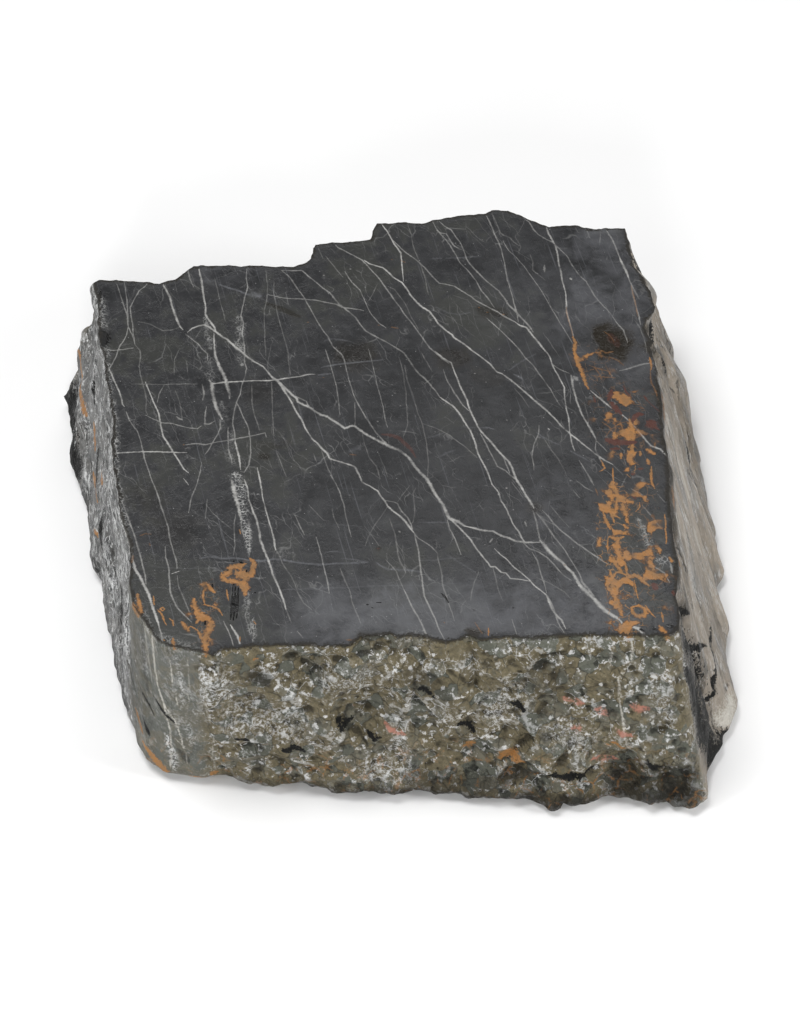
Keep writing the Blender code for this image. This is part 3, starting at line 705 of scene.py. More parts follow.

# Streaks on the wall, by side: across and up on the corner and the front, else back and up.
# On the wall, the pitch and smudge streaks are partly black marks and stains and partly painted shade: dark
# bands along the undercut foot, the dark groove by the front-right corner, and dark ledges and notches under
# the sawn edge.
WALL_STREAKS: dict[Way, dict[Mark, str]] = {
    Way.CORNER: {
        Mark.CALCITE: """
            B 2 1.6: -197,168 -196,140 -195,115 -190,98 -188,80 -186,61 -187,36 -189,16;
            B 1.6: -183,160 -181,132 -178,102;
            M 1.6: -204,166 -202,140 -200,110;
            B 1.6: -190,98 -181,80 -177,60 -173,28;
            M 1.4: -186,61 -176,50 -168,42;
            M 1.4: -168,166 -166,130 -170,96;
        """,
        Mark.CRUSH: """
            B 5 8: -190,60 -186,40 -184,18;
            M 4: -176,160 -173,130 -174,104;
            M 4: -207,152 -205,112;
            M 6: -170,80 -166,50;
        """,
        Mark.PITCH: """
            B 4 2: -214,90 -205,80 -200,72;
            B 5 2: -198,94 -189,84 -181,77;
            M 4: -206,168 -207,120 -204,94;
            B 7: -212,60 -206,44;
            F 26: -215,160 -217,100 -215,44;
            M 6: -180,44 -172,30;
        """,
        Mark.RUST: "B 6 8: -212,28 -202,20 -192,13; B 4: -218,52 -213,38; B 4 3: -172,11 -158,10;",
    },
    Way.FRONT: {
        Mark.CALCITE: """
            B 2.4 2.8: 205,168 206,155 203,145 195,135 196,122 197,111 200,96 202,82 208,60;
            M 2.5 3.5: 190,168 188,150 186,140;
            M 3 2: -153,135 -153,101 -151,83;
            M 2: -148,74 -151,38 -149,19;
        """,
        Mark.CRUSH: """
            B 26 20: -153,149 -148,128 -140,120;
            M 34 26: -128,96 -100,84 -70,92;
            M 26: -52,130 -20,138;
            M 30 24: 84,100 110,124;
            M 26: -20,40 20,30;
            M 22: 140,84 168,70;
            M 18: 228,130 236,96;
            B 14 10: 10,70 12,48;
            M 12: 40,96 60,104;
            M 12: 68,150 78,138;
        """,
        Mark.RUST: """
            B 8 10: 96,50 104,58 116,48;
            B 6 5: 66,56 76,60;
            B 3 2: 187,68 194,72 202,66 210,70;
            B 5 6: -186,14 -168,13 -148,16;
            M 3 2: -70,30 -62,34 -54,30;
            M 3 2: -40,26 -34,34 -30,40;
            B 3: -113,160 -105,160;
            M 3 2: -8,40 -5,52;
        """,
        Mark.SMUDGE: """
            B 16 12: -114,145 -104,138 -100,128;
            M 30 20: 120,140 150,128;
            M 26 20: 20,138 50,122;
            B 24 22: 196,24 236,16 262,24;
            B 12 14: -70,8 10,10 90,8 180,12;
            B 14 10: 96,34 130,36;
        """,
        Mark.CHALK: """
            B 7 6: 150,112 158,109 167,107;
            B 8 6: 178,101 185,98 192,97;
            B 7 6: 206,108 213,105 221,104;
            B 6 5: 196,84 204,81 213,80;
            B 6 5: 158,86 165,84;
            B 6 5: 176,55 186,51 197,50;
            B 5 4: -30,97 -18,95;
            B 6 4: -3,84 6,79 15,76;
        """,
        Mark.PITCH: """
            B 6 8: 102,110 110,112 116,106;
            B 6 8: 136,42 156,38 176,42;
            B 8 7: 223,52 228,46 235,47;
            M 20 24: 210,14 240,10 262,14;
            M 30: 200,40 230,34 262,40;
            B 6 5: -42,90 -36,84 -30,86;
            B 6: -17,75 -11,70 -5,72;
            M 9 10: -105,14 -84,10 -70,14;
            M 8: -44,22 -30,24;
            M 16 18: -140,10 -60,12 20,10 100,12 170,12 240,10;
            B 7 5: -88,60 -78,62 -70,56;
            B 6: 60,84 68,86 74,80;
            B 5: -130,70 -118,66;
            B 5 4: 24,124 32,126 40,118;
            M 26 20: 20,26 60,20 100,26;
        """,
    },
    Way.RIGHT: {
        Mark.PITCH: """
            B 14 26: -206,168 -208,140 -202,108;
            B 28 22: -202,108 -208,84 -220,60 -232,40 -244,14;
            B 20 34: -230,124 -236,84 -246,44;
            B 8 2: -192,106 -178,92 -162,72;
            B 2 6: -128,66 -159,62 -182,54 -204,46 -228,36;
            B 20: -214,10 -226,13 -240,16;
            B 10 5: -196,160 -184,148 -174,132;
            B 8 6: 118,166 108,150 100,128;
            B 16 14: 252,160 230,158 206,162;
            B 9 7: 152,166 144,150 134,130;
            B 4 3: 60,90 30,60 6,34;
            M 6: -186,168 -120,168 -60,168 0,168 60,168;
        """,
        Mark.SMUDGE: """
            B 10 24: -40,167 -80,163 -118,158 -152,152 -176,142;
            B 9: 0,168 40,167;
            B 14 10: 92,168 110,164 132,166;
            B 30 34: -226,166 -229,120 -236,70 -246,24;
            M 20 16: -186,90 -196,70;
            M 26: 120,70 90,40;
        """,
        Mark.RUST: "B 5 3: -150,166 -130,164 -104,167; M 7 5: -60,165 -84,162; M 5: 20,164 50,166;",
        Mark.CALCITE: """
            B 5 4: -80,154 -92,148 -101,141;
            B 4: -134,163 -150,158;
            M 12 8: 30,160 24,148 18,138;
            M 14 8: 8,122 -6,104 -14,88;
            M 10 7: 52,84 44,70;
            M 11: -44,90 -58,72;
            B 1.6: 20,150 -30,112 -70,84;
            B 1.8: -88,132 -112,106 -126,88 -149,80;
            B 1.4: -60,120 -96,90 -120,70;
            B 20 16: -186,24 -198,22 -208,18;
            B 1.4: 130,120 90,90 50,60;
        """,
        Mark.CRUSH: """
            B 16 20: -232,160 -236,110 -243,50;
            M 16 10: 40,110 20,90 -10,60;
            M 12: -110,120 -126,104;
            M 12: 90,120 70,100;
        """,
    },
    Way.LEFT: {
        Mark.RUST: """
            B 5 8: 185,80 160,76 130,72 108,70;
            B 7 5: 96,74 80,68 60,66;
            B 8 6: 50,60 28,64 6,66;
            B 4: -5,42 -30,48;
            B 7 5: 22,88 12,84;
        """,
        Mark.PITCH: """
            B 34 26: 187,22 130,24 80,20;
            M 22 18: 60,16 0,14 -60,14 -130,12 -190,14;
            B 8 10: 60,100 44,80 24,66;
            B 9: -20,84 -44,60;
            B 10 8: -110,90 -128,60;
            B 8: 120,110 104,90;
        """,
        Mark.CRUSH: """
            M 22 16: 150,150 120,120 96,100;
            B 14 10: 10,150 -10,120 -20,96;
            B 16 12: -90,150 -104,110 -112,70;
            M 18: -160,140 -176,90;
        """,
    },
}


@dataclass(frozen=True)
class Side:
    """One side of the stone. Lengths are in mm and colours are linear."""

    top: Path
    skirt: Path
    swell: float  # how far the wall bulges halfway along the side and halfway up
    flare: float  # 1 runs straight from top to skirt, more stays steep above and flares below
    slabs: float  # depth of the broken slabs
    chips: float  # depth of the chips
    shears: float  # depth of the long shears
    crumble: float  # depth of the scallops along the sawn edge
    tone: Colour
    # bruised also sets how much painted glint, rim highlight and chip shade the wall gets.
    bruised: float  # share of white bruises and glitter
    stained: float  # share of brown and green stain
    combed: float  # share of streaks along the run of the shears


SIDES = (
    Side(CORNER_TOP, CORNER_SKIRT, 0.0, 1.0, 1.0, 0.8, 0.0, 1.6, (0.128, 0.131, 0.116), 0.22, 0.3, 0.3),
    Side(FRONT_TOP, FRONT_SKIRT, 2.0, 1.0, 8.0, 7.5, 0.0, 2.2, (0.172, 0.161, 0.121), 1.0, 0.85, 0.0),
    Side(RIGHT_TOP, RIGHT_SKIRT, -4.0, 0.95, 2.0, 1.0, 15.0, 1.8, (0.262, 0.230, 0.192), 0.08, 0.1, 0.8),
    Side(BACK_TOP, BACK_SKIRT, 2.0, 1.1, 15.0, 5.0, 4.0, 1.8, (0.105, 0.102, 0.090), 0.6, 0.5, 0.2),
    Side(LEFT_TOP, LEFT_SKIRT, 2.0, 1.5, 3.0, 2.8, 7.0, 2.2, (0.134, 0.135, 0.134), 0.75, 0.08, 0.9),
)


def hashed(cells: Array, seed: int) -> Array:
    """Draws one number from 0 to 1 for each lattice cell, the same on every run.

    Args:
        cells: Whole-number cell places, one row each.
        seed: Which draw.

    Returns:
        One number for each row.
    """
    places = cells.astype(np.int64).astype(np.uint64)
    key = places[:, 0] * np.uint64(73856093)
    key ^= places[:, 1] * np.uint64(19349663)
    key ^= places[:, 2] * np.uint64(83492791)
    key ^= np.uint64(seed * 2654435761 % 2**32)
    key = (key ^ (key >> np.uint64(13))) * np.uint64(1274126177)
    key = (key ^ (key >> np.uint64(16))) & np.uint64(0xFFFFFF)
    return key.astype(float) / 0xFFFFFF


def hashed_vectors(cells: Array, seed: int) -> Array:
    """Draws three such numbers for each lattice cell."""
    return np.stack([hashed(cells, seed + axis) for axis in range(3)], 1)


def drift(points: Array, reach: float, seed: int) -> Array:
    """Finds a smooth wandering vector: lattice draws blended by smooth shares of each cell.

    Args:
        points: Places in space.
        reach: The length over which the vector changes.
        seed: Which draw.

    Returns:
        One vector for each place, each part from -0.5 to 0.5.
    """
    scaled = points / reach
    home = np.floor(scaled)
    share = scaled - home
    share = share * share * (3 - 2 * share)
    total = np.zeros_like(points)
    for step in np.ndindex(2, 2, 2):
        corner = np.array(step)
        weight = np.prod(np.where(corner, share, 1 - share), axis=1)
        total += weight[:, None] * (hashed_vectors(home + corner, seed) - 0.5)
    return total


def chips(points: Array, cell: float, seed: int) -> Array:
    """Packs hollows side by side: each point takes the lowest of the bowls round it.

    Args:
        points: Places in space.
        cell: The usual width of a hollow.
        seed: Which draw.

    Returns:
        0 in the middle of a hollow and 1 on a ridge.
    """
    scaled = points / cell
    home = np.floor(scaled)
    lowest = np.full(len(points), np.inf)
    for step in np.ndindex(3, 3, 3):
        cells = home + (np.array(step) - 1)
        middle = cells + hashed_vectors(cells, seed)
        rise = ((scaled - middle) ** 2).sum(1) + 0.35 * hashed(cells, seed + 3)
        lowest = np.minimum(lowest, rise)
    return np.clip(lowest, 0.0, 1.0)


def slabs(points: Array, cell: float, wander: float, seed: int, reach: float = STEP_REACH) -> Array:
    """Lays broken slabs side by side, each flat, at its own depth and lean.

    A point takes the slab whose middle is nearest, with a steep step along each border.

    Args:
        points: Places in space.
        cell: The usual width of a slab.
        wander: How far the borders wander, against the width.
        seed: Which draw.
        reach: How far the step along each border is spread.

    Returns:
        About -0.5 to 0.5 for each place.
    """
    scaled = points / cell + wander * drift(points, cell * 0.8, seed + 50)
    home = np.floor(scaled)
    total = np.zeros(len(points))
    weights = np.full(len(points), 1e-12)
    for step in np.ndindex(3, 3, 3):
        cells = home + (np.array(step) - 1)
        away = scaled - cells - hashed_vectors(cells, seed)
        lean = hashed_vectors(cells, seed + 7) - 0.5
        level = hashed(cells, seed + 3) - 0.5 + SLAB_TILT * (away * lean).sum(1)
        weight = np.exp(-cell / reach * (away**2).sum(1))
        total += weight * level
        weights += weight
    return total / weights


def run_lengths(path: Array) -> Array:
    """Gives how far along a path each of its points is."""
    return np.concatenate([[0.0], np.cumsum(np.linalg.norm(np.diff(path, axis=0), axis=1))])


def resampled(path: Array, gap: float) -> Array:
    """Adds even points between a path's own, so that no gap is wider than the given one.

    Args:
        path: Points of the path.
        gap: The widest spacing.

    Returns:
        The path's own points and the new ones, in order.
    """
    own = run_lengths(path)
    counts = np.maximum(1, np.ceil(np.diff(own) / gap).astype(int))
    runs = [np.linspace(own[i], own[i + 1], counts[i], endpoint=False) for i in range(len(counts))]
    runs = np.concatenate([*runs, own[-1:]])
    return np.stack([np.interp(runs, own, path[:, axis]) for axis in range(path.shape[1])], 1)


def streaked(points: Array, streaks: list[Streak]) -> Array:
    """Finds how deep in the nearest streak each point is.

    The depth is 1 on the streak's middle line and falls evenly to 0 at twice its half width. Where
    streaks overlap, the deepest counts.

    Args:
        points: Places on one face, two numbers each.
        streaks: The streaks.

    Returns:
        Two columns: the depth, and the strength of the streak that it belongs to.
    """
    best = np.full(len(points), -1.0)
    strength = np.zeros(len(points))
    for path, bold in streaks:
        reach = path[:, 2].max() * 2 * SOFT_BORDER
        low, high = path[:, :2].min(0) - reach, path[:, :2].max(0) + reach
        near = np.nonzero(((points > low) & (points < high)).all(1))[0]
        if not len(near):
            continue
        start, line = path[:-1], np.diff(path, axis=0)
        square = (line[:, :2] ** 2).sum(1) + 1e-12
        away = points[near, None] - start[None, :, :2]
        share = np.clip((away * line[:, :2]).sum(2) / square, 0, 1)
        gap = np.linalg.norm(away - share[:, :, None] * line[:, :2], axis=2)
        width = start[:, 2] + share * line[:, 2]
        depth = (1 - gap / (SOFT_BORDER * width)).max(1)
        won = depth > best[near]
        best[near[won]] = depth[won]
        strength[near[won]] = bold
    return np.stack([best.clip(0, 1), strength], 1)


class Columns(NamedTuple):
    """What every column of the wall starts from, one entry or row for each. Lengths are in metres."""

    top: Array
    skirt: Array
    swell: Array
    flare: Array
    slabs: Array
    chips: Array
    shears: Array
    crumble: Array
    looks: Array
    side: Array


@dataclass(frozen=True)
class SplitWall:
    """The broken sides, from the sawn edge down to the foot."""

    height: float = 170 * MM
    skirt_height: float = 13 * MM
    foot_inset: float = 12 * MM
    column_gap: float = 2.4 * MM
    row_gap: float = 2.4 * MM
    edge_rows: tuple[float, ...] = (0.0, 0.9 * MM, 2.1 * MM, 3.5 * MM, 5.1 * MM)
    slab_cell: float = 52 * MM
    chip_cell: float = 24 * MM
    shear_cell: float = 36 * MM
    normal_reach: float = 14 * MM
    edge_fade: float = 16 * MM
    edge_share: float = 0.12
    crumble_reach: float = 6.5 * MM
    slab_step: float = 1.8 * MM
    shear_step: float = 3.6 * MM
    small_chips: tuple[tuple[float, float, int], ...] = ((10 * MM, 2.6 * MM, 61), (5 * MM, 1.2 * MM, 71))
    flake_cell: float = 16 * MM
    flake_depth: float = 1.6 * MM
    rough_chips: float = 6.5 * MM  # how deep the chips are where the small relief is at its fullest
    blend_steps: int = 8

    def columns(self) -> Columns:
        """Reads the outlines at even gaps, matched from top to skirt by share of each length.

        Returns:
            The columns of the whole ring, with one side's numbers blending into the next's.
        """
        tops, skirts, numbers, looks, sides = [], [], [], [], []
        for number, side in enumerate(SIDES):
            top = (np.array(side.top, float) + SEAT) * MM
            skirt = (np.array(side.skirt, float) + SEAT) * MM
            top = resampled(top, self.column_gap)
            shares = run_lengths(top) / run_lengths(top)[-1]
            own = run_lengths(skirt) / run_lengths(skirt)[-1]
            skirt = np.stack([np.interp(shares, own, skirt[:, axis]) for axis in range(2)], 1)
            tops.append(top[:-1])
            skirts.append(skirt[:-1])
            shares = shares[:-1]
            swell = np.sin(np.pi * shares) * side.swell * MM
            depths = np.array([side.slabs, side.chips, side.shears, side.crumble]) * MM
            numbers.append(np.column_stack([swell, np.tile([side.flare, *depths], (len(shares), 1))]))
            look = [*side.tone, side.bruised, side.stained, side.combed]
            looks.append(np.tile(look, (len(shares), 1)))
            sides.append(np.full(len(shares), number))
        numbers, looks = np.concatenate(numbers), np.concatenate(looks)
        for _ in range(self.blend_steps):
            numbers = (np.roll(numbers, 1, 0) + numbers + np.roll(numbers, -1, 0)) / 3
            looks = (np.roll(looks, 1, 0) + looks + np.roll(looks, -1, 0)) / 3
        return Columns(
            np.concatenate(tops), np.concatenate(skirts), *numbers.T, looks, np.concatenate(sides)
        )

    def outward(self, ring: Array) -> Array:
        """Finds which level way is out at each point of a ring, smoothed along the ring.

        Args:
            ring: The ring's points, anticlockwise.

        Returns:
            Unit vectors.
        """
        along = (np.roll(ring, -1, 0) - np.roll(ring, 1, 0)) / 2
        normal = np.stack([along[:, 1], -along[:, 0]], 1)
        places = run_lengths(ring)
        length = places[-1] + np.linalg.norm(ring[0] - ring[-1])
        gap = np.abs(places[:, None] - places[None, :])
        gap = np.minimum(gap, length - gap)
        smooth = np.exp(-((gap / self.normal_reach) ** 2)) @ normal
        return smooth / np.linalg.norm(smooth, axis=1, keepdims=True)

    def heights(self) -> Array:
        """Gives the heights of the rows: close together at the sawn edge, then even to the skirt.

        Returns:
            The heights, from the top down.
        """
        start = self.height - self.edge_rows[-1]
        count = int(np.ceil((start - self.skirt_height) / self.row_gap)) + 1
        even = np.linspace(start, self.skirt_height, count)
        foot = self.skirt_height * np.array(SOLE_ROWS)
        return np.concatenate([self.height - np.array(self.edge_rows[:-1]), even, foot])

    def hollows(self, points: Array) -> Array:
        """Finds how deep the bites and the cracks are at each point.

        A bite is a bowl, deepest under its upper rim, and a crack is a V across its line.

        Args:
            points: Places on the wall.

        Returns:
            The depth at each place.
        """
        deepest = np.zeros(len(points))
        for x, y, z, radius, depth in BITES:
            away = (points - np.array([x + SEAT[0], y + SEAT[1], z]) * MM) / (radius * MM)
            bowl = np.clip(1 - (away**2).sum(1), 0, 1) * (1 + 0.6 * away[:, 2])
            deepest = np.maximum(deepest, depth * MM * bowl)
        for start, end, half_width, depth in CRACKS:
            start = (np.array(start, float) + [*SEAT, 0]) * MM
            line = (np.array(end, float) + [*SEAT, 0]) * MM - start
            share = np.clip((points - start) @ line / (line @ line), 0, 1)
            away = np.linalg.norm(points - start - np.outer(share, line), axis=1)
            notch = np.clip(1 - away / (half_width * MM), 0, 1)
            deepest = np.maximum(deepest, depth * MM * notch)
        return deepest

    def relief(self, points: Array, posts: Columns) -> Array:
        """Adds up how far out the stone stands: slabs, chips and shears, large and small.

        Args:
            points: One row of the wall before it is moved.
            posts: The wall's columns.

        Returns:
            The way out at each point.
        """
        run = np.array(SHEAR_RUN) / np.linalg.norm(SHEAR_RUN)
        squeezed = points - np.outer(points @ run * (1 - 1 / SHEAR_STRETCH), run)
        rough = posts.chips / self.rough_chips
        small = sum(deep * (chips(points, cell, seed) - CHIP_MEAN) for cell, deep, seed in self.small_chips)
        flakes = self.flake_depth * slabs(points, self.flake_cell, SLAB_WANDER, 81)
        return (
            posts.slabs * slabs(points, self.slab_cell, SLAB_WANDER, 11, self.slab_step)
            + posts.chips * (chips(points, self.chip_cell, 23) - CHIP_MEAN)
            + posts.shears * slabs(squeezed, self.shear_cell, SHEAR_WANDER, 37, self.shear_step)
            + small * (0.12 + 0.88 * rough)
            + flakes * (0.1 + 0.9 * rough)
            - self.hollows(points)
        )

    def rows(self, posts: Columns) -> tuple[Array, Array]:
        """Lofts the wall and moves every point out by the relief.

        At each height the ring is the top's outline moved towards the skirt's by the share of the
        way down, raised to the flare. Then come the swell, the relief and, along the sawn edge,
        the small scallops that crumbled off it.

        Args:
            posts: The wall's columns.

        Returns:
            The points, rows by columns by three, and how far out each one was moved.
        """
        grid, moved = [], []
        for height in self.heights():
            depth = self.height - height
            drop = min(1.0, depth / (self.height - self.skirt_height))
            ring = posts.top + (posts.skirt - posts.top) * (drop**posts.flare)[:, None]
            out = self.outward(ring)
            low = max(0.0, 1 - height / self.skirt_height)
            flat = np.column_stack([ring, np.full(len(ring), height)])
            fade = self.edge_share + (1 - self.edge_share) * min(1.0, depth / self.edge_fade)
            push = self.relief(flat, posts) * fade
            edge = max(0.0, 1 - depth / self.crumble_reach)
            scallop = 1 - chips(flat, 9 * MM, 91) + 0.5 * (1 - chips(flat, 4 * MM, 95))
            sunk = posts.crumble * scallop * edge
            push += posts.swell * np.sin(np.pi * drop) - self.foot_inset * low**2 - sunk
            grid.append(np.column_stack([ring + out * push[:, None], flat[:, 2]]))
            moved.append(push)
        return np.array(grid), np.array(moved)

    def ridges(self, moved: Array) -> Array:
        """Tells ridges from hollows: how far each point stands out from those round it.

        Args:
            moved: How far out each point was moved.

        Returns:
            0 in a hollow, 0.5 on an even face and 1 on a ridge.
        """
        mean = moved
        for _ in range(3):
            mean = (np.roll(mean, 1, 1) + mean + np.roll(mean, -1, 1)) / 3
            padded = np.vstack([mean[:1], mean, mean[-1:]])
            mean = (padded[:-2] + padded[1:-1] + padded[2:]) / 3
        return np.clip(0.5 + (moved - mean) / (2.4 * MM), 0, 1)


class Sheet(NamedTuple):
    """A flat sheet of triangles inside a ring. The first points are the ring's own."""

    points: Array
    triangles: Array


def sheet_inside(ring: Array, inner: Array, lines: list[Array], loose: Array) -> Sheet:
    """Fills a ring with triangles that follow given lines.

    Args:
        ring: The ring's points, anticlockwise, which stay as they are.
        inner: The same ring a little further in, which lines and points stay inside.
        lines: Lines that the triangles' edges follow.
        loose: Points between the lines.

    Returns:
        The sheet, facing up.
    """
    places, edges = [ring], []
    count = len(ring)
    for line in lines:
        kept = inside(line, inner)
        index = count - 1 + np.cumsum(kept)
        joined = kept[:-1] & kept[1:]
        edges.append(np.column_stack([index[:-1][joined], index[1:][joined]]))
        places.append(line[kept])
        count += int(kept.sum())
    places.append(loose[inside(loose, inner)])
    flat = np.concatenate(places) / MM
    joins = [tuple(pair) for pair in np.concatenate(edges).tolist()] if edges else []
    found, _, triangles, came_from, _, _ = delaunay_2d_cdt(
        [Vector(place) for place in flat], joins, [list(range(len(ring)))], 1, 0.03
    )
    own = np.array([min(origin, default=len(flat)) for origin in came_from])
    on_ring = own < len(ring)
    index = np.where(on_ring, own, len(ring) + np.cumsum(~on_ring) - 1)
    found = np.array([place[:] for place in found]) * MM
    points = np.concatenate([ring, found[~on_ring]])
    return Sheet(points, index[np.array(triangles)])


def inside(points: Array, ring: Array) -> Array:
    """Tests which points lie inside a ring, by counting the edges to the right of each.

    Args:
        points: Places to test.
        ring: The ring's points.

    Returns:
        True for each place inside.
    """
    after = np.roll(ring, -1, 0)
    level = points[:, 1, None]
    spans = (ring[:, 1] > level) != (after[:, 1] > level)
    rise = after[:, 1] - ring[:, 1]
    share = (level - ring[:, 1]) / np.where(rise == 0, 1e-12, rise)
    cross = ring[:, 0] + share * (after[:, 0] - ring[:, 0])
    return (spans & (points[:, 0, None] < cross)).sum(1) % 2 == 1


@dataclass(frozen=True)
class Tracer:
    """Draws streaks with the small wander that a vein has in stone."""

    step: float = 4.5 * MM
    wander: float = 0.9 * MM
    tip: float = 7 * MM

    def draw(self, text: str) -> list[Streak]:
        """Reads streaks that are written down, and draws each of them.

        A streak is a letter for how strongly it shows, its width or its first and last width, a
        colon, its points and a semicolon. The line is given even points and moved by a smooth
        drift, and its width swells, shrinks and thins towards both ends.

        Args:
            text: The streaks, in mm.

        Returns:
            The streaks, in metres.
        """
        streaks = []
        for entry in text.split(";")[:-1]:
            head, body = entry.split(":")
            letter, *widths = head.split()
            points = np.array([spot.split(",") for spot in body.split()], float)
            line = resampled((points + SEAT) * MM, self.step)
            run = run_lengths(line)
            deep = np.column_stack([line, np.full(len(line), 0.31)])
            away = self.wander * (drift(deep, 11 * MM, 5) + 0.6 * drift(deep, 4 * MM, 9))
            half = np.interp(run, [0, run[-1]], [float(widths[0]), float(widths[-1])]) * MM / 2
            half = half * (1 + 0.7 * drift(deep, 15 * MM, 17)[:, 0])
            ends = np.minimum(run, run[-1] - run)
            half = half * np.clip(0.5 + 0.5 * ends / min(self.tip, run[-1] / 3), 0, 1)
            streaks.append(Streak(np.column_stack([line + away[:, :2], half]), STRENGTHS[letter]))
        return streaks

    def guides(self, streaks: list[Streak]) -> list[Array]:
        """Gives the lines that a sheet has to follow: each streak's middle and closed border.

        Args:
            streaks: The streaks.

        Returns:
            Lines of points.
        """
        lines = []
        for line, _ in streaks:
            middle, reach = line[:, :2], line[:, 2:] * SOFT_BORDER
            along = np.gradient(middle, axis=0)
            along /= np.linalg.norm(along, axis=1, keepdims=True) + 1e-12
            aside = np.stack([-along[:, 1], along[:, 0]], 1)
            tail, nose = middle[:1] - along[:1] * reach[:1], middle[-1:] + along[-1:] * reach[-1:]
            left, right = middle + aside * reach, middle - aside * reach
            lines.append(middle)
            lines.append(np.concatenate([tail, left, nose, right[::-1], tail]))
        return lines


class Wire:
    """A number or a vector on its way through a finish: the operators add Math nodes."""

    def __init__(self, recipe: "Recipe", socket: bpy.types.NodeSocket) -> None:
        """Keeps the recipe and the socket."""
        self.recipe, self.socket = recipe, socket

    def math(self, operation: str, *values: Any) -> "Wire":
        """Adds one Math node on these values."""
        return self.recipe.node("ShaderNodeMath", {"operation": operation}, dict(enumerate(values)))

    def __add__(self, other: Any) -> "Wire":
        """Adds."""
        return self.math("ADD", self, other)

    def __sub__(self, other: Any) -> "Wire":
        """Takes away."""
        return self.math("SUBTRACT", self, other)

    def __mul__(self, other: Any) -> "Wire":
        """Multiplies."""
        return self.math("MULTIPLY", self, other)

    def __rsub__(self, other: Any) -> "Wire":
        """Takes this away from the other."""
        return self.math("SUBTRACT", other, self)

    __radd__, __rmul__ = __add__, __mul__

    def clipped(self) -> "Wire":
        """Keeps the number between 0 and 1."""
        return self.recipe.node(
            "ShaderNodeMath", {"operation": "ADD", "use_clamp": True}, {0: self, 1: 0.0}
        )

    def between(self, low: float, high: float) -> "Wire":
        """Turns low to high into 0 to 1, with soft ends."""
        return self.recipe.node(
            "ShaderNodeMapRange",
            {"interpolation_type": "SMOOTHSTEP"},
            {"Value": self, "From Min": low, "From Max": high},
        )


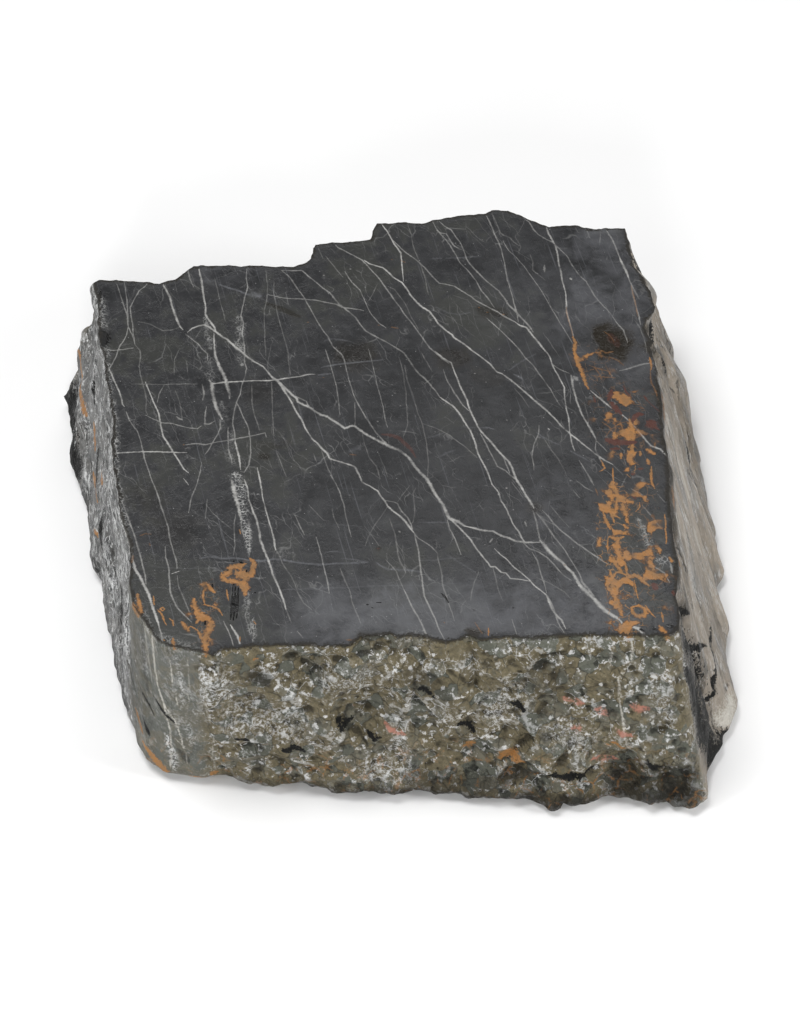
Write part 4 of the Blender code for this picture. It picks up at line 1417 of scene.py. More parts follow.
class Recipe:
    """One finish as shader nodes round its Principled shader."""

    def __init__(self, name: str) -> None:
        """Starts an empty finish.

        Args:
            name: The material's name.
        """
        self.material = bpy.data.materials.new(name)
        self.material.use_nodes = True
        self.tree = self.material.node_tree
        self.shader = self.tree.nodes["Principled BSDF"]

    def node(self, kind: str, settings: dict[str, Any], values: dict[Any, Any], out: Any = 0) -> Wire:
        """Adds one node.

        Args:
            kind: The node's type.
            settings: Its own properties, set before its sockets.
            values: A constant or a wire for each named or numbered input.
            out: Which output to go on from.

        Returns:
            That output.
        """
        made = self.tree.nodes.new(kind)
        for name, value in settings.items():
            setattr(made, name, value)
        for name, value in values.items():
            if isinstance(value, Wire):
                self.tree.links.new(value.socket, made.inputs[name])
            else:
                made.inputs[name].default_value = value
        return Wire(self, made.outputs[out])

    def place(self) -> Wire:
        """Gives the place on the stone, in mm."""
        spot = self.node("ShaderNodeTexCoord", {}, {}, "Object")
        return self.vector("SCALE", spot, Scale=1 / MM)

    def vector(self, operation: str, *vectors: Any, **values: Any) -> Wire:
        """Adds one Vector Math node.

        Args:
            operation: What it does.
            *vectors: Its vectors, in order.
            **values: Its other inputs, by name.

        Returns:
            Its output.
        """
        inputs = {**dict(enumerate(vectors)), **values}
        out = "Value" if operation in ("DOT_PRODUCT", "LENGTH", "DISTANCE") else "Vector"
        return self.node("ShaderNodeVectorMath", {"operation": operation}, inputs, out)

    def noise(self, spot: Wire, size: float, detail: float = 2.0, rough: float = 0.5) -> Wire:
        """Gives soft noise whose blots are about this many mm wide."""
        values = {"Vector": spot, "Scale": 1 / size, "Detail": detail, "Roughness": rough}
        return self.node("ShaderNodeTexNoise", {}, values)

    def cells(self, spot: Wire, size: float, out: str = "Distance", feature: str = "F1") -> Wire:
        """Gives one output of a cell pattern whose cells are about this many mm wide."""
        values = {"Vector": spot, "Scale": 1 / size}
        return self.node("ShaderNodeTexVoronoi", {"feature": feature}, values, out)

    def strokes(self, spot: Wire, size: float) -> Wire:
        """Draws thin bent strokes: where a noise with blots of this size crosses its middle."""
        level = self.noise(spot, size, 4, 0.7) - 0.5
        return 1 - level.math("ABSOLUTE").between(0.02, 0.07)

    def drawn(self, spot: Wire, size: float) -> Wire:
        """Gives each cell of the cell pattern one number from 0 to 1."""
        return self.node("ShaderNodeSeparateXYZ", {}, {0: self.cells(spot, size, "Color")})

    def bent(self, spot: Wire, size: float, far: float, detail: float = 2.0) -> Wire:
        """Moves a place by noise.

        Args:
            spot: The place, in mm.
            size: How wide the noise's blots are, in mm.
            far: How far it moves, in mm.
            detail: The noise's detail.

        Returns:
            The moved place.
        """
        values = {"Vector": spot, "Scale": 1 / size, "Detail": detail}
        drawn = self.node("ShaderNodeTexNoise", {}, values, "Color")
        centred = self.vector("SUBTRACT", drawn, (0.5, 0.5, 0.5))
        return self.vector("MULTIPLY_ADD", centred, (far, far, far), spot)

    def stretched(self, spot: Wire, turn: float, times: float) -> Wire:
        """Makes patterns grow long, seen from above, along the way that is turned this far from X."""
        values = {"Vector": spot, "Rotation": (0.0, 0.0, turn), "Scale": (times, 1.0, 1.0)}
        return self.node("ShaderNodeMapping", {"vector_type": "TEXTURE"}, values)

    def mix(self, share: Any, first: Any, second: Any) -> Wire:
        """Mixes two colours.

        Args:
            share: How much of the second shows.
            first: A colour or a wire.
            second: A colour or a wire.

        Returns:
            The mixed colour.
        """
        settings = {"data_type": "RGBA", "clamp_factor": True}
        first, second = [(*c, 1.0) if isinstance(c, tuple) else c for c in (first, second)]
        return self.node("ShaderNodeMix", settings, {0: share, 6: first, 7: second}, 2)

    def dimmed(self, colour: Wire, factor: Wire) -> Wire:
        """Multiplies a colour by a number."""
        return self.vector("SCALE", colour, Scale=factor)

    def stored(self, name: str, out: str = "Fac") -> Wire:
        """Reads something that the mesh stores at each vertex."""
        return self.node("ShaderNodeAttribute", {"attribute_name": name}, {}, out)

    def marked(self, mark: Mark, ragged: Wire, far: float, soft: float, inset: float = 0.0) -> Wire:
        """Says where a streak covers the stone.

        Args:
            mark: The kind of streak.
            ragged: Noise from 0 to 1 that frays its border.
            far: How far the border is frayed, as a share of the streak's half width.
            soft: How soft the border is, as the same share.
            inset: How far in from the streak's own border it lies, as the same share.

        Returns:
            From 0 outside to the streak's strength inside.
        """
        both = self.stored(mark.value, "Vector")
        parts = [self.node("ShaderNodeSeparateXYZ", {}, {0: both}, axis) for axis in (0, 1)]
        depth = parts[0] + (ragged - 0.5) * far
        return depth.between(0.5 + inset - soft, 0.5 + inset + soft) * parts[1]

    def finish(self, colour: Wire, roughness: Wire, height: Wire, deep: float, **fixed: Any) -> None:
        """Connects the shader.

        Args:
            colour: The base colour.
            roughness: The roughness.
            height: The small relief, 0 to 1.
            deep: How deep that relief is, in mm.
            **fixed: Constants for the shader's own sockets.
        """
        normal = self.node(
            "ShaderNodeBump", {}, {"Height": height, "Distance": deep * MM, "Strength": 1.0}
        )
        for name, wire in {"Base Color": colour, "Roughness": roughness, "Normal": normal}.items():
            self.tree.links.new(wire.socket, self.shader.inputs[name])
        for name, value in fixed.items():
            self.shader.inputs[name.replace("_", " ")].default_value = value


@dataclass(frozen=True)
class HonedFinish:
    """The sawn and honed top: dark cloudy marble with veins, nets of rust and scuffs, and pale haze that is
    partly a painted sheen.
    """

    dark: Colour = (0.0098, 0.0101, 0.0110)
    light: Colour = (0.043, 0.0438, 0.047)
    green: Colour = (0.026, 0.027, 0.020)
    calcite: Colour = (0.36, 0.355, 0.34)
    veinlet: Colour = (0.15, 0.15, 0.148)
    scuff: Colour = (0.155, 0.16, 0.175)
    rust: Colour = (0.31, 0.142, 0.040)
    ochre: Colour = (0.23, 0.118, 0.042)
    brown: Colour = (0.085, 0.040, 0.016)
    haze: Colour = (0.088, 0.090, 0.099)
    maroon: Colour = (0.062, 0.019, 0.012)
    pitch: Colour = (0.003, 0.003, 0.003)
    smudge: Colour = (0.012, 0.009, 0.005)
    speck: Colour = (0.32, 0.32, 0.32)
    crumb: Colour = (0.40, 0.40, 0.39)
    dark_brown: Colour = (0.013, 0.011, 0.008)
    veinlet_ways: tuple[tuple[float, ...], ...] = (
        (-0.95, 16, 0.014, 0.9),
        (-1.38, 20, 0.012, 0.9),
        (0.6, 34, 0.007, 0.5),
    )  # turn, cell in mm, width against the cell, share that shows

    def material(self) -> bpy.types.Material:
        """Builds the finish.

        Returns:
            The material.
        """
        r = Recipe("honed_marble")
        spot = r.place()
        cloud = r.noise(spot, 120, 3)
        blots = r.noise(r.bent(spot, 40, 30), 20, 6, 0.62)
        grain = r.noise(spot, 1.0, 3, 0.75)
        fray = r.noise(spot, 2.2, 3, 0.7)
        fade = r.noise(spot, 9, 3, 0.6)
        shade = cloud * 0.5 + blots * 0.62 + (grain - 0.5) * 0.3
        colour = r.mix(shade.between(0.31, 0.90), self.dark, self.light)
        colour = r.mix((cloud + (blots - 0.5) * 0.8).between(0.48, 0.66) * 0.5, colour, self.green)
        colour = r.mix(self.veinlets(r, spot, fade), colour, self.veinlet)
        colour = r.mix(self.scratches(r, spot), colour, self.scuff)
        # Painted sheen, partly real haze: broad pale patches that lighten the top, most of all along its
        # front and right.
        haze = r.marked(Mark.HAZE, blots, 1.2, 0.5)
        colour = r.mix(haze * (cloud + blots * 1.4 - 0.80).clipped(), colour, self.haze)
        smudge = r.marked(Mark.SMUDGE, blots, 1.6, 0.3)
        colour = r.mix(smudge * (0.7 + 0.6 * fade).clipped(), colour, self.smudge)
        # Scuffs and scratches; the widest faint ones along the front edge are partly painted sheen.
        scuff = r.marked(Mark.SCUFF, fray, 1.8, 0.45, 0.1)
        colour = r.mix(scuff * (fade - 0.2).clipped() * 1.2, colour, self.scuff)
        colour = r.mix(self.specks(r, spot), colour, self.speck)
        crush = r.marked(Mark.CRUSH, fray, 1.2, 0.4)
        colour = r.mix(crush * self.crumbled(r, spot, fade), colour, self.crumb)
        calcite = r.marked(Mark.CALCITE, fray, 0.9, 0.3, 0.12)
        colour = r.mix(calcite * (1.9 * fade + cloud - 0.75).clipped(), colour, self.calcite)
        warm = r.mix(r.noise(spot, 6, 4, 0.6).between(0.38, 0.6), self.ochre, self.rust)
        net, rim, craze = self.net(r, spot)
        colour = r.mix(craze * (0.4 + fade), colour, self.ochre)
        rust = (r.marked(Mark.RUST, fray, 1.5, 0.12) + net).clipped()
        inner = (r.marked(Mark.RUST, fray, 1.5, 0.2, 0.16) + rim).clipped()
        colour = r.mix(rust * (0.6 + 0.6 * fade).clipped(), colour, r.mix(inner, self.brown, warm))
        maroon = r.marked(Mark.MAROON, fray, 1.2, 0.15)
        colour = r.mix(maroon * (0.8 + 0.5 * fade).clipped(), colour, self.maroon)
        pitch = r.marked(Mark.PITCH, fray, 0.7, 0.12)
        colour = r.mix(pitch, colour, self.pitch)
        edge = r.stored("arris") + (fade - 0.5) * 1.5 + (fray - 0.5) * 1.5
        colour = r.mix(edge.between(0.62, 0.80) * 0.9, colour, self.dark_brown)
        crumbs = r.strokes(spot, 3.4) * (r.noise(spot, 14, 2) + (fray - 0.5)).between(0.40, 0.56)
        colour = r.mix(crumbs * edge.between(0.30, 0.55) * 0.9, colour, self.crumb)
        dull = edge.clipped() * 0.3 - (pitch + smudge).clipped() * 0.16
        roughness = 0.34 + (blots - 0.5) * 0.22 + scuff * 0.25 + dull + crush * 0.2
        height = grain * 0.12 + calcite * 0.1 - rust * 0.1 - pitch * 0.6 + fray * edge.clipped() * 2
        r.finish(colour, roughness, height, 0.3, Specular_IOR_Level=0.36)
        return r.material

    def net(self, r: Recipe, spot: Wire) -> tuple[Wire, Wire, Wire]:
        """Draws a net of rust round rounded gaps, thick in places, and finer crazes.

        Args:
            r: The recipe.
            spot: The place, in mm.

        Returns:
            How much the thick net, its inner part and the fine crazes show.
        """
        bent = r.bent(spot, 7, 6, 3)
        region = r.marked(Mark.NET, r.noise(spot, 10, 3), 1.2, 0.4)
        thick = r.cells(bent, 13) + (r.noise(spot, 12, 4, 0.65) - 0.5) * 1.1 + region * 0.25
        fine = 1 - r.cells(bent, 9, feature="DISTANCE_TO_EDGE").between(0.0, 0.05)
        shown = region.between(0.05, 0.3)
        craze = fine * region.between(0.05, 0.5) * r.noise(spot, 8, 3, 0.6).between(0.42, 0.56)
        return thick.between(0.74, 0.79) * shown, thick.between(0.80, 0.88) * shown, craze

    def veinlets(self, r: Recipe, spot: Wire, fade: Wire) -> Wire:
        """Draws the finest veins: the edges of long bent cells, in three directions, here and there.

        Args:
            r: The recipe.
            spot: The place, in mm.
            fade: Noise that breaks the lines up.

        Returns:
            How much of the veinlets' colour shows.
        """
        total = None
        for turn, size, wide, share in self.veinlet_ways:
            long = r.stretched(r.bent(spot, 26, 13, 3), turn, 6.0)
            line = 1 - r.cells(long, size, feature="DISTANCE_TO_EDGE").between(0.0, wide)
            shown = (r.noise(spot, 38 + size, 2) + (fade - 0.5) * 0.5).between(0.45, 0.66)
            part = line * shown * share
            total = part if total is None else total + part
        return total * 0.6

    def scratches(self, r: Recipe, spot: Wire) -> Wire:
        """Draws thin scratches, level and steep, and wiped patches: noise squeezed one way.

        Args:
            r: The recipe.
            spot: The place, in mm.

        Returns:
            How much of the scratches' colour shows.
        """
        level = r.noise(r.stretched(spot, 0.04, 40.0), 1.4, 1).between(0.68, 0.76)
        steep = r.noise(r.stretched(spot, -1.33, 50.0), 1.5, 1).between(0.66, 0.76)
        wiped = r.noise(r.stretched(spot, -0.8, 2.8), 9, 5, 0.75).between(0.56, 0.9)
        where = r.noise(spot, 60, 2).between(0.45, 0.65)
        return level * where * 0.05 + steep * (1 - where) * 0.25 + wiped * 0.16

    def specks(self, r: Recipe, spot: Wire) -> Wire:
        """Draws small pale specks: a few of the cells of a fine pattern."""
        near = 1 - r.cells(spot, 4.2).between(0.05, 0.14)
        return near * r.drawn(spot, 4.2).between(0.80, 0.98) * 0.7

    def crumbled(self, r: Recipe, spot: Wire, fade: Wire) -> Wire:
        """Draws crushed stone: a net of pale splinters with dark grains between.

        Args:
            r: The recipe.
            spot: The place, in mm.
            fade: Noise that breaks the net up.

        Returns:
            How much of the splinters' colour shows.
        """
        bent = r.bent(spot, 4, 4, 3)
        net = 1 - r.cells(bent, 3.4, feature="DISTANCE_TO_EDGE").between(0.02, 0.13)
        flecks = r.noise(spot, 1.6, 4, 0.75).between(0.55, 0.66)
        return (net * fade.between(0.35, 0.6) + flecks * 0.8).clipped() * 0.85


@dataclass(frozen=True)
class SplitFinish:
    """The broken sides: chipped, bruised and weathered stone, with painted glints where it is fresh and
    painted shade in its hollows, creases and recesses.
    """

    # White of the bruises, and of the painted highlights along facet rims.
    bruise_and_highlight: Colour = (0.56, 0.565, 0.56)
    # Colour of the painted glints.
    glint: Colour = (0.75, 0.75, 0.75)
    olive: Colour = (0.190, 0.158, 0.092)
    moss: Colour = (0.088, 0.074, 0.043)
    green: Colour = (0.104, 0.113, 0.094)
    slate: Colour = (0.175, 0.178, 0.18)
    # Near black: painted shade in hollows, creases and grooves, and black marks.
    black_and_shade: Colour = (0.006, 0.006, 0.0055)
    rust: Colour = (0.34, 0.165, 0.055)
    chalk: Colour = (0.42, 0.185, 0.135)
    cream: Colour = (0.52, 0.50, 0.45)
    crumb: Colour = (0.40, 0.40, 0.39)
    dark_brown: Colour = (0.020, 0.017, 0.012)
    facet_size: float = 12.0  # mm, a broken facet
    grain_size: float = 4.0  # mm, a small facet or a fleck
    plane_size: float = 24.0  # mm, a sheared plane, across its run

    def material(self) -> bpy.types.Material:
        """Builds the finish.

        Returns:
            The material.
        """
        r = Recipe("split_marble")
        spot = r.place()
        tone = r.stored("tone", "Color")
        bruised, stained, combed = (r.stored(name) for name in ("bruised", "stained", "combed"))
        ridge = r.stored("ridge")
        blots = r.noise(r.bent(spot, 18, 14), 16, 5, 0.6)
        clusters = r.noise(spot, 26, 3, 0.6)
        mottle = r.noise(spot, self.grain_size, 6, 0.72)
        fray = r.noise(spot, 2.0, 3, 0.7)
        bent = r.bent(spot, 9, 8, 3)
        bowl, small_bowl = r.cells(bent, self.facet_size), r.cells(bent, self.grain_size)
        chip, facet = r.drawn(bent, self.facet_size), r.drawn(bent, self.grain_size)
        comb = r.noise(self.along_run(r, spot, 9.0), 5, 5, 0.7)
        planes = self.along_run(r, bent, 5.0)
        plane = r.drawn(planes, self.plane_size)
        # The chip and facet terms are painted facet shading: each chipped facet lighter or darker, as if lit
        # from its own angle.
        shade = 0.50 + blots * 0.45 + mottle * 0.42 + ((chip - 0.5) * 0.6 + (facet - 0.5) * 0.45) * bruised
        slate = r.noise(self.along_run(r, spot, 3.0), 20, 4, 0.6).between(0.50, 0.60) * combed
        tone = r.mix(slate * 0.7, tone, self.slate)
        # The plane term is painted facet shading too: each sheared plane lighter or darker.
        colour = r.dimmed(tone, shade + ((comb - 0.5) * 1.4 + (plane - 0.5) * 0.7) * combed)
        olive = (chip + (blots - 0.5) * 1.1 + (mottle - 0.5) * 0.4).between(0.34, 0.50)
        colour = r.mix(olive * stained, colour, r.mix(mottle.between(0.3, 0.7), self.moss, self.olive))
        green = (1 - chip - (blots - 0.5) * 0.8 + (fray - 0.5) * 0.3).between(0.72, 0.82)
        colour = r.mix(green * stained * 0.8, colour, self.green)
        # Painted shade: darker in the wall's hollows, where less light reaches.
        hollow = (1 - ridge + (mottle - 0.5) * 0.9 + (0.4 - bowl) * 0.3).between(0.58, 0.92)
        colour = r.mix(hollow * (0.3 + bruised * 0.4), colour, self.black_and_shade)
        # Painted shadow and highlight along the facets' rims: dark crescents along some borders, and pale
        # rim lines along the others, which join the white bruise strokes.
        joint = r.cells(bent, self.facet_size, feature="DISTANCE_TO_EDGE")
        shut = (r.noise(spot, 15, 3, 0.6) + (fray - 0.5) * 0.4).between(0.46, 0.52)
        crease_shadow = (1 - joint.between(0.0, 0.08)) * shut
        colour = r.mix(crease_shadow * bruised * (1 - combed) * 0.55, colour, self.black_and_shade)
        # Dark lines along the borders of the sheared planes: cracks, with painted shade in the steps between
        # the planes.
        border = r.cells(planes, self.plane_size, feature="DISTANCE_TO_EDGE")
        border = 1 - border.between(0.0, 0.035)
        crack = border * (clusters + (mottle - 0.5) * 0.5).between(0.46, 0.56) * combed
        dark_comb = (1 - comb.between(0.36, 0.42)) * combed * bruised
        colour = r.mix((crack * 0.85 + dark_comb).clipped(), colour, self.black_and_shade)
        fresh = (mottle + (clusters - 0.5) * 0.7 + (ridge - 0.5) * 0.3).between(0.60, 0.70) * bruised
        rim = (1 - joint.between(0.0, 0.035)) * (1 - shut)
        broken = (clusters + (fray - 0.5) * 0.9).between(0.43, 0.57) * bruised
        strokes_and_highlights = (r.strokes(spot, 5.0) + rim).clipped() * broken
        colour = r.mix((fresh * 0.45 + strokes_and_highlights * 0.8).clipped(), colour, self.bruise_and_highlight)
        flaked = r.noise(self.along_run(r, spot, 6.0), 2.0, 4, 0.75) + (clusters - 0.5) * 0.4
        colour = r.mix(flaked.between(0.56, 0.62) * combed * (0.45 + bruised), colour, self.bruise_and_highlight)
        # Painted glints: tiny near-white spots on some fine facets, where fresh crystal faces would catch
        # the lamps.
        sparkle = (facet + (clusters - 0.5) * 0.4).between(0.86, 0.89) * mottle.between(0.50, 0.54)
        colour = r.mix(sparkle * bruised * 0.6, colour, self.glint)
        low = 1 - r.node("ShaderNodeSeparateXYZ", {}, {0: spot}, 2).between(25, 80)
        seam = 1 - r.cells(bent, 15, feature="DISTANCE_TO_EDGE").between(0.0, 0.09)
        seam = seam * (blots + (fray - 0.5) * 0.5).between(0.50, 0.60) * low * stained
        # Dark stains, and painted shadow along the undercut foot and in the groove by the front-right
        # corner.
        smudge = r.marked(Mark.SMUDGE, blots, 1.0, 0.45)
        colour = r.mix(smudge * 0.8, colour, self.dark_brown)
        crush = r.marked(Mark.CRUSH, blots, 1.8, 0.5)
        grains = (r.noise(spot, 1.8, 5, 0.8) + (mottle - 0.5) * 0.8).between(0.50, 0.57)
        colour = r.mix(crush * grains * 1.2, colour, self.bruise_and_highlight)
        rust = (r.marked(Mark.RUST, fray, 1.6, 0.15) + seam * 0.8).clipped()
        colour = r.mix(rust * (1.8 * mottle - 0.05).clipped(), colour, self.rust)
        calcite = r.marked(Mark.CALCITE, fray, 1.3, 0.3, 0.12)
        colour = r.mix(calcite * (1.8 * mottle - 0.1).clipped(), colour, self.cream)
        chalk = r.marked(Mark.CHALK, mottle, 2.0, 0.25)
        colour = r.mix(chalk * (ridge + (fray - 0.5)).between(0.2, 0.6) * 0.85, colour, self.chalk)
        # Painted shade, with some black marks: black along the undercut foot, in the groove by the
        # front-right corner and under ledges.
        pitch = r.marked(Mark.PITCH, mottle * 0.7 + fray * 0.3, 2.6, 0.08)
        colour = r.mix(pitch, colour, self.black_and_shade)
        edge = r.stored("arris") + (mottle - 0.5) * 1.6
        colour = r.mix(edge.between(0.55, 0.8) * 0.85, colour, self.dark_brown)
        crumbs = (r.strokes(spot, 3.4) + fresh).clipped() * (clusters + (fray - 0.5)).between(0.36, 0.5)
        colour = r.mix(crumbs * edge.between(0.25, 0.5) * 0.9, colour, self.crumb)
        roughness = 0.52 - (sparkle + strokes_and_highlights * 0.5 + fresh * 0.3) * 0.3 + (mottle - 0.5) * 0.4
        chipped = bowl * 1.9 + small_bowl * 0.8 + mottle * 0.5
        height = chipped * bruised + (comb + plane * 0.8 - crack) * combed * 0.6 + mottle * 0.25
        r.finish(colour, roughness, height, 1.7, Specular_IOR_Level=0.14)
        return r.material

    def along_run(self, r: Recipe, spot: Wire, times: float) -> Wire:
        """Squeezes places along the way that the shears run, so that patterns grow long there.

        Args:
            r: The recipe.
            spot: The place, in mm.
            times: How many times longer the patterns grow.

        Returns:
            The squeezed place.
        """
        run = Vector(SHEAR_RUN).normalized()
        far = r.vector("DOT_PRODUCT", spot, tuple(run)) * (1 / times - 1)
        return r.vector("ADD", spot, r.vector("SCALE", tuple(run), Scale=far))


@dataclass(frozen=True)
class FloorFinish:
    """Plain pale floor."""

    colour: Colour = (0.86, 0.86, 0.86)
    roughness: float = 0.9

    def material(self) -> bpy.types.Material:
        """Builds the finish.

        Returns:
            The material.
        """
        r = Recipe("pale_floor")
        r.shader.inputs["Base Color"].default_value = (*self.colour, 1.0)
        r.shader.inputs["Roughness"].default_value = self.roughness
        r.shader.inputs["Specular IOR Level"].default_value = 0.1
        return r.material


@dataclass
class MarbleBlock:
    """The whole stone: wall, sawn top and foot in one closed mesh."""

    wall: SplitWall = field(default_factory=SplitWall)
    tracer: Tracer = field(default_factory=Tracer)
    edge_margin: float = 0.8 * MM
    edge_band: float = 6.5 * MM
    top_gap: float = 8 * MM
    foot_gap: float = 24 * MM
    run_on: float = 9 * MM

    def build(self) -> bpy.types.Object:
        """Builds the stone, stores what its finishes read, and dresses it.

        Returns:
            The piece.
        """
        posts = self.wall.columns()
        grid, moved = self.wall.rows(posts)
        traced = {mark: self.tracer.draw(text) for mark, text in TOP_STREAKS.items()}
        every = [streak for streaks in traced.values() for streak in streaks]
        top = self.top_sheet(grid[0, :, :2], self.tracer.guides(every))
        foot = self.foot_sheet(grid[-1, :, :2])
        rows, columns = grid.shape[:2]
        wall_count = rows * columns
        inner_top = np.pad(top.points[columns:], ((0, 0), (0, 1)), constant_values=self.wall.height)
        inner_foot = np.pad(foot.points[columns:], ((0, 0), (0, 1)))
        points = np.concatenate([grid.reshape(-1, 3), inner_top, inner_foot])
        first_low = (rows - 1) * columns
        top_index = np.concatenate([np.arange(columns), wall_count + np.arange(len(inner_top))])
        foot_index = np.concatenate(
            [first_low + np.arange(columns), wall_count + len(inner_top) + np.arange(len(inner_foot))]
        )
        quads = self.wall_faces(rows, columns)
        top_faces = top_index[top.triangles]
        foot_faces = foot_index[foot.triangles[:, ::-1]]
        mesh = bpy.data.meshes.new("stone")
        mesh.from_pydata(points, [], [*quads.tolist(), *top_faces.tolist(), *foot_faces.tolist()])
        kinds = np.concatenate([np.ones(len(quads)), np.zeros(len(top_faces)), np.ones(len(foot_faces))])
        mesh.polygons.foreach_set("material_index", kinds.astype(np.int32))
        self.store_looks(mesh, points, posts, grid, moved, traced, wall_count, len(inner_top))
        self.store_map(mesh, grid, posts, points, top_faces, foot_faces)
        mesh.materials.append(HonedFinish().material())
        mesh.materials.append(SplitFinish().material())
        mesh.validate()
        block = bpy.data.objects.new("stone", mesh)
        bpy.context.scene.collection.objects.link(block)
        return block

    def wall_faces(self, rows: int, columns: int) -> Array:
        """Joins the wall's rows by four-sided faces that look outwards.

        Args:
            rows: How many rows the wall has.
            columns: How many columns it has.

        Returns:
            The four corners of each face.
        """
        row, column = np.meshgrid(np.arange(rows - 1), np.arange(columns), indexing="ij")
        after = (column + 1) % columns
        upper, lower = row * columns, (row + 1) * columns
        corners = [upper + column, lower + column, lower + after, upper + after]
        return np.stack(corners, 2).reshape(-1, 4)

    def top_sheet(self, ring: Array, lines: list[Array]) -> Sheet:
        """Makes the sawn top's sheet, through the streaks and a band along the edge.

        Args:
            ring: The wall's uppermost row.
            lines: The streaks' middles and borders.

        Returns:
            The sheet.
        """
        out = self.wall.outward(ring)
        loose = self.lattice(ring, self.top_gap)
        bands = [ring - out * (self.edge_band * share) for share in (0.5, 1.0)]
        return sheet_inside(ring, ring - out * self.edge_margin, lines, np.concatenate([*bands, loose]))

    def foot_sheet(self, ring: Array) -> Sheet:
        """Makes the flat foot's sheet."""
        out = self.wall.outward(ring)
        return sheet_inside(ring, ring - out * self.edge_margin, [], self.lattice(ring, self.foot_gap))

    def lattice(self, ring: Array, gap: float) -> Array:
        """Spreads points over a ring's box, each a little off its place.

        Args:
            ring: The ring's points.
            gap: The spacing.

        Returns:
            The points.
        """
        low, high = ring.min(0), ring.max(0)
        across, up = (np.arange(low[axis], high[axis], gap) for axis in (0, 1))
        flat = np.stack(np.meshgrid(across, up), 2).reshape(-1, 2)
        return flat + gap * 0.6 * drift(np.column_stack([flat, flat[:, 0] * 0]), gap / 2, 3)[:, :2]

    def store_looks(
        self, mesh: bpy.types.Mesh, points: Array, posts: Columns, grid: Array, moved: Array,
        traced: dict[Mark, list[Streak]], wall_count: int, top_count: int,
    ) -> None:  # fmt: skip
        """Stores at every vertex what the finishes read.

        Args:
            mesh: The stone's mesh.
            points: All its points.
            posts: The wall's columns.
            grid: The wall's points in rows.
            moved: How far out each wall point was moved.
            traced: The top's streaks.
            wall_count: How many points the wall has.
            top_count: How many points lie inside the top.
        """
        rows, columns = grid.shape[:2]
        on_top = slice(wall_count, wall_count + top_count)
        looks = np.zeros((len(points), 6))
        looks[:wall_count] = np.tile(posts.looks, (rows, 1))
        looks[wall_count:, :3] = posts.looks[:, :3].mean(0)
        ridge = np.full(len(points), 0.5)
        ridge[:wall_count] = self.wall.ridges(moved).ravel()
        depth = self.wall.height - grid[:, :, 2]
        arris = np.zeros(len(points))
        arris[:wall_count] = np.exp(-depth / (4 * MM)).ravel()
        arris[:columns] = 1.0
        ring = grid[0, :, :2]
        rim = np.column_stack([np.vstack([ring, ring[:1]]), np.full(columns + 1, self.edge_band / 2)])
        arris[on_top] = streaked(points[on_top, :2], [Streak(rim, 1.0)])[:, 0]
        numbers = {"bruised": looks[:, 3], "stained": looks[:, 4], "combed": looks[:, 5]}
        numbers |= {"ridge": ridge, "arris": arris}
        for name, values in numbers.items():
            layer = mesh.attributes.new(name, "FLOAT", "POINT")
            layer.data.foreach_set("value", values.astype(np.float32))
        tone = mesh.attributes.new("tone", "FLOAT_COLOR", "POINT")
        tone.data.foreach_set("color", np.column_stack([looks[:, :3], np.ones(len(points))]).ravel())
        side = np.tile(posts.side, rows)
        above = np.tile(ring, (rows, 1))
        fade = np.clip(1 - depth.ravel() / self.run_on, 0, 1)
        on_wall = {
            number: {mark: self.tracer.draw(text) for mark, text in texts.items()}
            for number, texts in WALL_STREAKS.items()
        }
        for mark in Mark:
            found = np.zeros((len(points), 3))
            if mark in traced:
                found[on_top, :2] = streaked(points[on_top, :2], traced[mark])
                found[:wall_count, :2] = streaked(above, traced[mark])
                found[columns:wall_count, 0] *= fade[columns:]
            for number, streaks in on_wall.items():
                if mark in streaks:
                    face = Face.SIDE if number in (Way.RIGHT, Way.LEFT) else Face.FRONT
                    mine = np.nonzero(side == number)[0]
                    drawn = streaked(points[mine][:, list(face.value)], streaks[mark])
                    more = drawn[:, 0] > found[mine, 0]
                    found[mine[more], :2] = drawn[more]
            layer = mesh.attributes.new(mark.value, "FLOAT_VECTOR", "POINT")
            layer.data.foreach_set("vector", found.astype(np.float32).ravel())

    def store_map(
        self, mesh: bpy.types.Mesh, grid: Array, posts: Columns, points: Array,
        top_faces: Array, foot_faces: Array,
    ) -> None:  # fmt: skip
        """Lays the stone out flat: the top and the foot from above, the wall as unrolled strips.

        Args:
            mesh: The stone's mesh.
            grid: The wall's points in rows.
            posts: The wall's columns.
            points: All points.
            top_faces: The top's triangles.
            foot_faces: The foot's triangles.
        """
        rows, columns = grid.shape[:2]
        ring = posts.top
        gaps = np.linalg.norm(np.roll(ring, -1, 0) - ring, axis=1)
        run = np.concatenate([[0.0], np.cumsum(gaps)[:-1]])
        start = {way: run[np.argmax(posts.side == way)] for way in Way}
        after_left = start[Way.LEFT] - run[-1] - gaps[-1]
        along = np.where(posts.side <= Way.FRONT, run - after_left, 0.0)
        for way in (Way.RIGHT, Way.BACK, Way.LEFT):
            along = np.where(posts.side == way, run - start[way], along)
        steps = np.linalg.norm(np.diff(grid.mean(1)[:, 2:], axis=0), axis=1)
        slope = np.linalg.norm(np.diff(grid, axis=0), axis=2).mean(1)
        down = np.concatenate([[0.0], np.cumsum(np.maximum(steps, slope))])
        row, column = np.meshgrid(np.arange(rows - 1), np.arange(columns), indexing="ij")
        row, column = row.ravel(), column.ravel()
        u = along[column][:, None] + np.outer(gaps[column], [0, 0, 1, 1])
        v = np.stack([down[row], down[row + 1], down[row + 1], down[row]], 1)
        strip = posts.side[column][:, None]
        upright = strip != Way.BACK
        offset = np.where(strip == Way.RIGHT, MAP_COLUMN + MAP_STRIP, MAP_COLUMN)
        u_map = np.where(upright, offset + v * MAP_WALL, u * MAP_WALL)
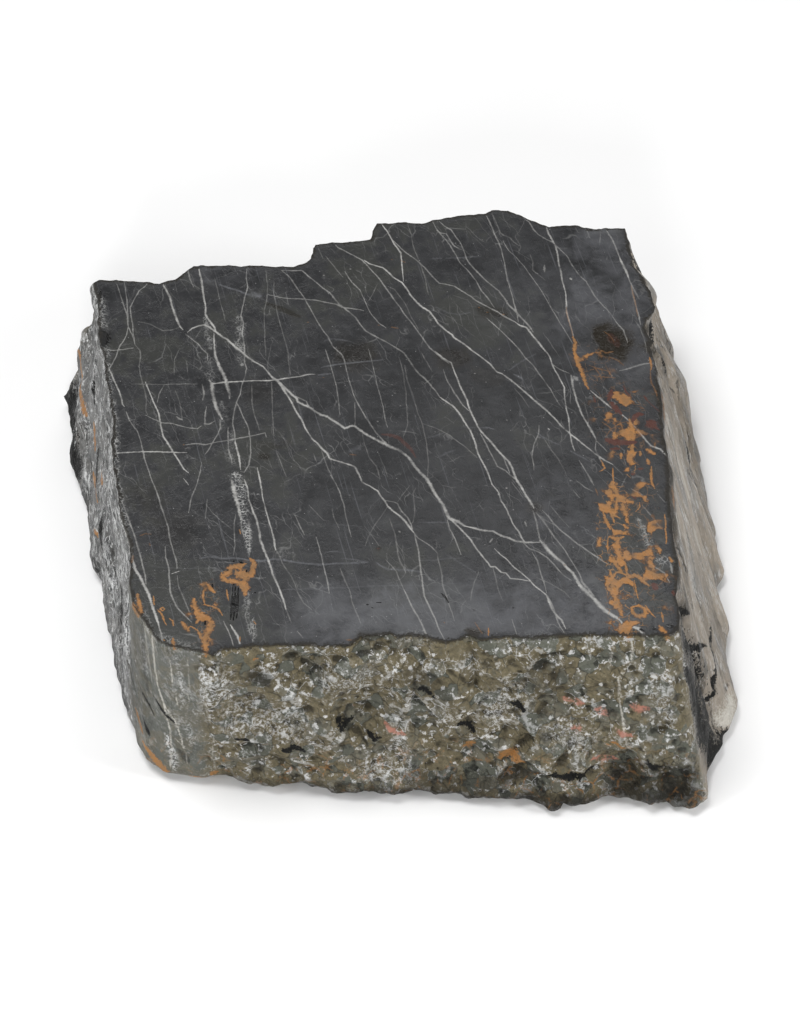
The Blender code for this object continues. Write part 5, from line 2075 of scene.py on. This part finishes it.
        v_map = np.where(upright, u * MAP_WALL, MAP_ROW + v * MAP_WALL)
        wall_map = np.stack([u_map, v_map], 2).reshape(-1, 2)
        corner = points[:, :2].min(0)
        top_map = (points[top_faces.ravel(), :2] - ring.min(0)) + MAP_MARGIN
        foot_map = (points[foot_faces.ravel(), :2] - corner) * MAP_FOOT + [0.0, MAP_ROW + MAP_STRIP]
        laid = np.concatenate([wall_map + MAP_MARGIN, top_map, foot_map + MAP_MARGIN]) / MAP_SIDE
        layer = mesh.uv_layers.new(name="OFBake")
        layer.uv.foreach_set("vector", laid.astype(np.float32).ravel())

    def report(self, piece: bpy.types.Object) -> None:
        """Tells how many faces the piece has."""
        LOG.info("%s: %d vertices, %d faces", piece.name, len(piece.data.vertices), len(piece.data.polygons))


@dataclass(frozen=True)
class Lamp:
    """One soft square light, aimed at the stone. Lengths in metres, power in watts."""

    place: tuple[float, float, float]
    size: float
    power: float


@dataclass(frozen=True)
class Studio:
    """Plain pale floor, soft lights and the camera."""

    floor_side: float = 14.0
    sky: float = 0.16
    lamps: tuple[Lamp, ...] = (
        Lamp((-0.9, 0.3, 3.3), 1.6, 80.0),
        Lamp((0.5, 1.5, 2.9), 0.9, 13.0),
        Lamp((2.7, -0.7, 1.5), 0.7, 42.0),
        Lamp((-2.6, -1.2, 1.4), 0.7, 18.0),
        Lamp((-0.3, -3.0, 1.7), 0.7, 42.0),
    )
    target: tuple[float, float, float] = (0.011, -0.022, 0.085)
    distance: float = 2.816
    elevation: float = 50.0
    lens: float = 110.0

    def build(self) -> None:
        """Builds the floor, the lights and the camera."""
        half = self.floor_side / 2
        mesh = bpy.data.meshes.new("floor")
        corners = [(-half, -half, 0), (half, -half, 0), (half, half, 0), (-half, half, 0)]
        mesh.from_pydata(corners, [], [(0, 1, 2, 3)])
        mesh.materials.append(FloorFinish().material())
        floor = bpy.data.objects.new("floor", mesh)
        bpy.context.scene.collection.objects.link(floor)
        world = bpy.data.worlds.new("studio")
        world.use_nodes = True
        sky = world.node_tree.nodes["Background"]
        sky.inputs["Color"].default_value = (1.0, 1.0, 1.0, 1.0)
        sky.inputs["Strength"].default_value = self.sky
        bpy.context.scene.world = world
        bpy.context.scene.view_settings.view_transform = "Standard"
        for number, lamp in enumerate(self.lamps):
            light = bpy.data.lights.new(f"lamp_{number}", "AREA")
            light.size, light.energy = lamp.size, lamp.power
            self.aimed(f"lamp_{number}", light, Vector(lamp.place))
        lens = bpy.data.cameras.new("camera")
        lens.lens, lens.sensor_width = self.lens, 36.0
        lens.clip_end = 50.0
        rise = np.radians(self.elevation)
        away = Vector((0.0, -np.cos(rise), np.sin(rise))) * self.distance
        bpy.context.scene.camera = self.aimed("camera", lens, Vector(self.target) + away)

    def aimed(self, name: str, data: Any, place: Vector) -> bpy.types.Object:
        """Places a light or a camera so that it looks at the stone.

        Args:
            name: The object's name.
            data: The light or camera.
            place: Where it stands.

        Returns:
            The object.
        """
        thing = bpy.data.objects.new(name, data)
        thing.location = place
        thing.rotation_euler = (Vector(self.target) - place).to_track_quat("-Z", "Y").to_euler()
        bpy.context.scene.collection.objects.link(thing)
        return thing


def main() -> None:
    """Builds the stone and the studio."""
    logging.basicConfig(level=logging.INFO)
    block = MarbleBlock()
    stone = block.build()
    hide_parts("marble_block")
    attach(stone, "root")
    block.report(stone)
    Studio().build()
    LOG.info("studio: floor, lights and camera")


if __name__ == "__main__":
    main()
